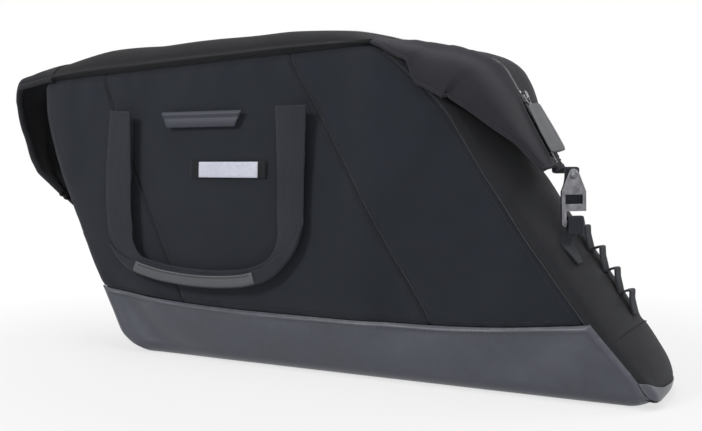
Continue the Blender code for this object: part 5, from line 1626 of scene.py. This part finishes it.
def end_tab(side, path, place, run, wide, out, level):
    """The tab from a tail's end to the back of its hook."""
    end, tail_run, _, tail_out = tail_frame(path, np.array(1.0))
    behind = place - out * (HOOK_FACE + TAB_WEB / 2)
    route = [end + tail_run * along + tail_out * off for along, off in TAB_ROUTE]
    route += [behind + run * reach for reach in (-HOOK_RIVET, 0.0, HOOK_RIVET, TAB_TONGUE)]
    share = np.linspace(0.0, 1.0, 60)
    half = reading(TAB_HALF, share, 0.05)
    across = turned_from(level, wide, share, TAB_TWIST)
    return web("end_tab_" + side, walk(route, share), across, half, TAB_WEB)


def hook_loop(side, ground, place, run, wide, out, level):
    """The loop round a hook's finger: a leg sewn to the gusset, then a U in the plane of run and out."""
    finger = place + run * (HOOK_FINGER - HOOK_RIVET) + wide * LOOP_SIDE
    foot = np.array(LOOP_FOOT[side])
    sewn, _ = ground(foot, finger[1] + 0 * foot, LOOP_OFF)
    gap = HOOK_THICK / 2 + LOOP_GAP
    turn = np.linspace(np.pi, 2 * np.pi, 8)
    off = np.concatenate(([-gap], gap * np.cos(turn), [gap, gap]))
    high, low = LOOP_REACH
    down = np.concatenate(([low / 2], high + gap * np.sin(turn), [low / 4, low]))
    route = np.concatenate((sewn, finger + out * off[:, None] + run * down[:, None]))
    share = np.linspace(0.0, 1.0, 90)
    across = turned_from(level, wide, share, LOOP_TWIST)
    return web("hook_loop_" + side, walk(route, share), across, LOOP_HALF, LOOP_WEB)


for side, path, place, (run, wide, out), ground in (("right", RIGHT_TAIL, RIGHT_RIVET, RIGHT_HOOK, on_right),
                                                    ("left", LEFT_TAIL, LEFT_RIVET, LEFT_HOOK, on_left)):
    level = ACROSS if ACROSS @ wide > 0 else -ACROSS
    end_tab(side, path, place, run, wide, out, level)
    hook_loop(side, ground, place, run, wide, out, level)
print("tab thickness", TAB_WEB * 1000, "mm")

# %% [markdown]
# ## Daisy chains
# A chain of loops runs down each end for lashing things on: one strip of narrow webbing, sewn down at even
# steps and standing off between them. Each loop stands out sharply near its top and lies flatter below, so
# one profile, repeated, makes them all.

# %% Daisy chains
LOOP_PITCH = 0.0245
LOOP_HEIGHT = 0.0105
LOOP_COUNT = 4
LOOP_LEAN = 0.0030
LOOP_PROFILE = ((0.0, 0.0), (0.12, 0.62), (0.27, 1.05), (0.50, 0.58), (0.80, 0.24), (1.0, 0.0))
NARROW_WEBBING = 0.020
DAISY_WEB = 0.0022
DAISY_OFF = 0.0004              # from the cloth to the webbing's middle where it is sewn down
RIGHT_CHAIN = (0.145, 0.83)     # height of its top, and how far it falls for each metre of webbing
LEFT_CHAIN = (0.150, 0.90)


def daisy_chain(name, surface, top, slope):
    """Webbing that stands off between sewn points by its own profile, and whose crest is moved on by its
    lean."""
    phase = np.linspace(0.0, LOOP_COUNT, LOOP_COUNT * 30 + 1)
    wave = reading(LOOP_PROFILE, phase % 1.0, 0.05)
    height = top - slope * (LOOP_PITCH * phase - LOOP_LEAN * wave)
    path, _ = surface(height, 0 * height, DAISY_OFF + LOOP_HEIGHT * wave)
    return web(name, path, np.broadcast_to(ACROSS, path.shape), NARROW_WEBBING / 2, DAISY_WEB)


daisy_chain("daisy_chain_right", on_right, *RIGHT_CHAIN)
daisy_chain("daisy_chain_left", on_left, *LEFT_CHAIN)
print("loops on each chain:", LOOP_COUNT)

# %% [markdown]
# ## Carry handle
# One long webbing strap hangs from two sewn anchors. Towards the grip it is folded lengthwise, so its lower
# half turns up over its front: the fold line runs slantwise across the strap, which is what narrows it at
# the corners.

# %% Handle anchors and strap
HANDLE_LEFT_X = -0.305
HANDLE_RIGHT_X = -0.063
HANDLE_Y = -0.0880
WEBBING = 0.038
STRAP_THICK = 0.0016
FOLD_RADIUS = 0.0011
HANDLE_PATH = ((-0.3015, 0.0, 0.286), (HANDLE_LEFT_X, 0.0, 0.215), (-0.3045, 0.0, 0.160),
               (-0.298, 0.0, 0.130), (-0.281, 0.0, 0.1115), (-0.255, 0.0, 0.1035), (-0.222, 0.0, 0.0990),
               (-0.185, 0.0, 0.0970), (-0.150, 0.0, 0.0980), (-0.117, 0.0, 0.1025), (-0.090, 0.0, 0.1140),
               (-0.071, 0.0, 0.137), (-0.0645, 0.0, 0.170), (HANDLE_RIGHT_X, 0.0, 0.215),
               (HANDLE_RIGHT_X, 0.0, 0.286))
STRAP_TAPER = ((0.0, 0.80), (0.13, 1.0), (0.85, 0.86), (0.92, 0.93),
               (1.0, 1.0))      # share of the strap's length, and its part of the full width
FOLD_LINE = ((0.0, 1.0), (0.235, 1.0), (0.34, 0.02), (0.70, 0.02), (0.82, 1.0),
             (1.0, 1.0))        # share, and the fold's place: 1 is past the lower edge, so no fold


def strap_frame(share):
    """Centre of the hanging strap, and its way across: its run turned by a quarter in the side's plane."""
    run = way(HANDLE_PATH, share)
    return walk(HANDLE_PATH, share), np.stack((-run[..., 2], 0 * share, run[..., 0]), -1)


share = np.linspace(0.0, 1.0, 260)
centre, across = strap_frame(share)
place = WEBBING / 2 * np.linspace(1.0, -1.0, 61) * reading(STRAP_TAPER, share, 0.02)[:, None]
fold = -(WEBBING / 2 + np.pi * FOLD_RADIUS) * reading(FOLD_LINE, share, 0.02)[:, None]
past = fold - place
bend = np.clip(past / FOLD_RADIUS, 0.0, np.pi)
flat = np.maximum(place, fold) - FOLD_RADIUS * np.sin(bend) + np.maximum(past - np.pi * FOLD_RADIUS, 0.0)
front = -FOLD_RADIUS * (1 - np.cos(bend))
flat = flat - (WEBBING / 2 + np.maximum(fold, -WEBBING / 2)) / 2
depth = HANDLE_Y - STRAP_THICK / 2 + front
middle = centre[:, None] + across[:, None] * flat[..., None] + ACROSS * depth[..., None]
normal = across[:, None] * np.sin(bend)[..., None] - ACROSS * np.cos(bend)[..., None]
strap = skin("handle_strap", ribbon(middle, normal, STRAP_THICK), WEBBING_LOOK, "handle", ("handle_strap",))

ANCHOR_LOW = 0.205
ANCHOR_HIGH = 0.2775
ANCHOR_WIDTH = 0.026
ANCHOR_THICK = 0.0018
ANCHOR_LIFT = 0.0012            # from the cloth to the anchor's middle
ANCHOR_ASIDE = -0.003           # the strap hides it from the outer side
z, wide = np.meshgrid(np.linspace(ANCHOR_LOW, ANCHOR_HIGH, 24), np.linspace(-1.0, 1.0, 9), indexing="ij")
for side, x in (("left", HANDLE_LEFT_X), ("right", HANDLE_RIGHT_X)):
    name = "handle_anchor_" + side
    middle = front_point(x + ANCHOR_ASIDE + ANCHOR_WIDTH / 2 * wide, z, ANCHOR_LIFT)
    skin(name, flat_ribbon(middle, ANCHOR_THICK), WEBBING_LOOK, "bag", (name,))
print("strap length", round(float(running(centre, 0)[-1]), 3), "m, laid flat")

# %% Wrapped grip
GRIP_SHARES = (0.336, 0.636)
GRIP_HEIGHT = 0.0125
GRIP_THICK = 0.0016
GRIP_HALF_GAP = 0.0030          # half the room between the wrap's two walls
GRIP_WALL = 0.35                # share of the wrap's section that each wall takes
GRIP_Y = HANDLE_Y - 0.0020      # middle of the wrap
GRIP_DROP = 0.0005              # how far the wrap hangs below the folded strap
GRIP_HEM = 0.0022               # from the front wall's upper edge down to its stitches
u = np.linspace(0.0, 1.0, 90)
v = np.linspace(0.0, 1.0, 33)[None]
centre, across = strap_frame(GRIP_SHARES[0] + (GRIP_SHARES[1] - GRIP_SHARES[0]) * u)
climb = np.maximum(np.maximum(GRIP_WALL - v, v - 1 + GRIP_WALL), 0.0) / GRIP_WALL
turn = np.pi * np.clip((v - GRIP_WALL) / (1 - 2 * GRIP_WALL), 0.0, 1.0)
knee = GRIP_HALF_GAP - WEBBING / 4 - GRIP_DROP
rise = knee - GRIP_HALF_GAP * np.sin(turn) + (GRIP_HEIGHT - GRIP_HALF_GAP) * climb + 0 * u[:, None]
off = GRIP_Y - GRIP_HALF_GAP * np.cos(turn) + 0 * u[:, None]
middle = centre[:, None] + across[:, None] * rise[..., None] + ACROSS * off[..., None]
normal = -across[:, None] * np.sin(turn)[..., None] - ACROSS * (np.cos(turn) + 0 * u[:, None])[..., None]
grip = skin("handle_grip", ribbon(middle, unit(normal), GRIP_THICK), WRAP_LOOK, "handle", ("handle_grip",))
line = centre + across * (knee + GRIP_HEIGHT - GRIP_HALF_GAP - GRIP_HEM)
line = line + ACROSS * (GRIP_Y - GRIP_HALF_GAP - GRIP_THICK / 2)
stitches("grip_stitching", [(line[2:-2], -ACROSS)], THREAD, "handle")
print("grip length", round(float(running(centre, 0)[-1]), 3), "m")

# %% [markdown]
# ## Label tab and light strip
# A bare tab of dark wrap hangs from a sewn line under the top edge, and a webbing strip with a pale
# reflective film gives a light something to clip to. The tab curls a little, so its upper half faces the
# light.

# %% Label tab and light strip
TAB_TOP = (-0.244, -0.131, 0.2835)      # left, right and height
TAB_LOW = (-0.237, -0.141, 0.2655)
TAB_FOLD = 0.40                         # share of its height where it is creased
TAB_Y = -0.0816
TAB_THICK = 0.0020
TAB_CURL = 0.0022
u, v = np.meshgrid(np.linspace(0.0, 1.0, 40), np.linspace(0.0, 1.0, 20), indexing="ij")
left = TAB_TOP[0] + (TAB_LOW[0] - TAB_TOP[0]) * v
right = TAB_TOP[1] + (TAB_LOW[1] - TAB_TOP[1]) * v
upper = np.sin(np.pi * np.minimum(v, TAB_FOLD) / TAB_FOLD) ** 1.2
lower = 0.45 * np.sin(np.pi * (v - TAB_FOLD) / (1 - TAB_FOLD))
depth = TAB_Y - TAB_CURL * np.where(v < TAB_FOLD, upper, lower)
middle = np.stack((left + (right - left) * u, depth, TAB_TOP[2] + (TAB_LOW[2] - TAB_TOP[2]) * v), -1)
skin("label_tab", flat_ribbon(middle, TAB_THICK), TAB_LOOK, "tab", ("label_tab",))

STRIP_BASE = (-0.205, -0.100, 0.2085, 0.2270)       # left, right, low and high
STRIP = (-0.1915, -0.1105, 0.2090, 0.2265)


def strip(name, place, off, thick, look, slot):
    """A rectangle laid on the outer side, with its thickness."""
    u, v = np.meshgrid(np.linspace(0.0, 1.0, 40), np.linspace(0.0, 1.0, 9), indexing="ij")
    left, right, low, high = place
    middle = front_point(left + (right - left) * u, low + (high - low) * v, off + thick / 2)
    return skin(name, flat_ribbon(middle, thick), look, "bag", (name,))


strip("light_strip_base", STRIP_BASE, LAYER, 0.0014, TAPE_LOOK, "webbing")
strip("light_strip", STRIP, 2 * LAYER + 0.0016, 0.0006, STRIP_LOOK, "reflective")
print("label tab is", round((TAB_TOP[1] - TAB_TOP[0]) * 1000), "mm wide and bare")

# %% [markdown]
# ## Light, floor and background
# Plain studio light: a key from the upper left, a soft top light, a low fill from the right, and a rim
# light from behind. The floor is pale and fades to the white background away from the bag, so only its
# shadow shows.

# %% Light, floor and background
LIGHTS = (("key", (-0.80, -1.90, 1.35), 0.6, 23.0), ("top", (0.10, -0.20, 1.70), 1.2, 10.0),
          ("fill", (1.60, -0.90, 0.70), 1.2, 4.0), ("rim", (0.90, 1.30, 1.10), 0.9, 9.0))
LIGHT_TARGET = Vector((-0.05, 0.0, 0.18))
for name, place, size, power in LIGHTS:
    lamp = bpy.data.objects.new(name, bpy.data.lights.new(name, "AREA"))
    lamp.data.shape = "DISK"
    lamp.data.size = size
    lamp.data.energy = power
    lamp.location = place
    lamp.rotation_euler = (LIGHT_TARGET - Vector(place)).to_track_quat("-Z", "Y").to_euler()
    bpy.context.scene.collection.objects.link(lamp)


def seen_rays(tree):
    """1 for rays from the camera, and for those that metal or glass sends on to the background."""
    paths = tree.nodes.new("ShaderNodeLightPath")
    onward = math_node(tree, "MAXIMUM", paths.outputs["Is Glossy Ray"], paths.outputs["Is Transmission Ray"])
    return math_node(tree, "MAXIMUM", paths.outputs["Is Camera Ray"], onward)


SKY_LIGHT = 0.20                # how much of its white the background sheds on the bag
world = bpy.data.worlds.new("studio")
world.use_nodes = True
bpy.context.scene.world = world
sky = world.node_tree.nodes["Background"]
seen = seen_rays(world.node_tree)
level = world.node_tree.nodes.new("ShaderNodeMapRange")
level.inputs["To Min"].default_value = SKY_LIGHT
world.node_tree.links.new(seen, level.inputs["Value"])
world.node_tree.links.new(level.outputs["Result"], sky.inputs["Strength"])
sky.inputs["Color"].default_value = (1.0, 1.0, 1.0, 1.0)

FLOOR_REACH = 6.0
FLOOR_DROP = 0.0004             # how far the floor lies under the bag
rings, turn = np.meshgrid((0.001, 0.4, 0.8, 1.4, 2.5, FLOOR_REACH), angles(96), indexing="ij")
spots = np.stack((rings * np.cos(turn), rings * np.sin(turn), 0 * turn - FLOOR_DROP), -1)
spots = np.concatenate((spots, spots[:, :1]), axis=1)
floor_mesh = cloth_mesh("floor", spots, np.array((0.0, 0.0, -1.0)))
floor = bpy.data.objects.new("floor", floor_mesh)
bpy.context.scene.collection.objects.link(floor)
floor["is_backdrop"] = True
floor_look, tree, shader = new_look("pale floor")
shader.inputs["Base Color"].default_value = (0.86, 0.86, 0.86, 1.0)
shader.inputs["Roughness"].default_value = 0.9
glow = tree.nodes.new("ShaderNodeEmission")
place = tree.nodes.new("ShaderNodeTexCoord")
length = tree.nodes.new("ShaderNodeVectorMath")
length.operation = "LENGTH"
tree.links.new(place.outputs["Object"], length.inputs[0])
far = rough_between(tree, stretch(tree, length.outputs["Value"], 0.30, 0.80), 0.68, 1.0)
seen = seen_rays(tree)
either = tree.nodes.new("ShaderNodeMixShader")
tree.links.new(math_node(tree, "MULTIPLY", far, seen), either.inputs["Fac"])
tree.links.new(shader.outputs["BSDF"], either.inputs[1])
tree.links.new(glow.outputs["Emission"], either.inputs[2])
tree.links.new(either.outputs["Shader"], tree.nodes["Material Output"].inputs["Surface"])
floor.data.materials.append(floor_look)
bpy.context.scene.view_settings.view_transform = "Standard"
print("lights:", len(LIGHTS))

# %% [markdown]
# ## Sizes
# The box round the dressed bag is printed, in millimetres. The dressed bag may stand only a little proud
# of its solids.

# %% Sizes
low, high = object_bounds()
print("dressed box, mm:", np.round((np.array(high) - np.array(low)) * 1000, 1))
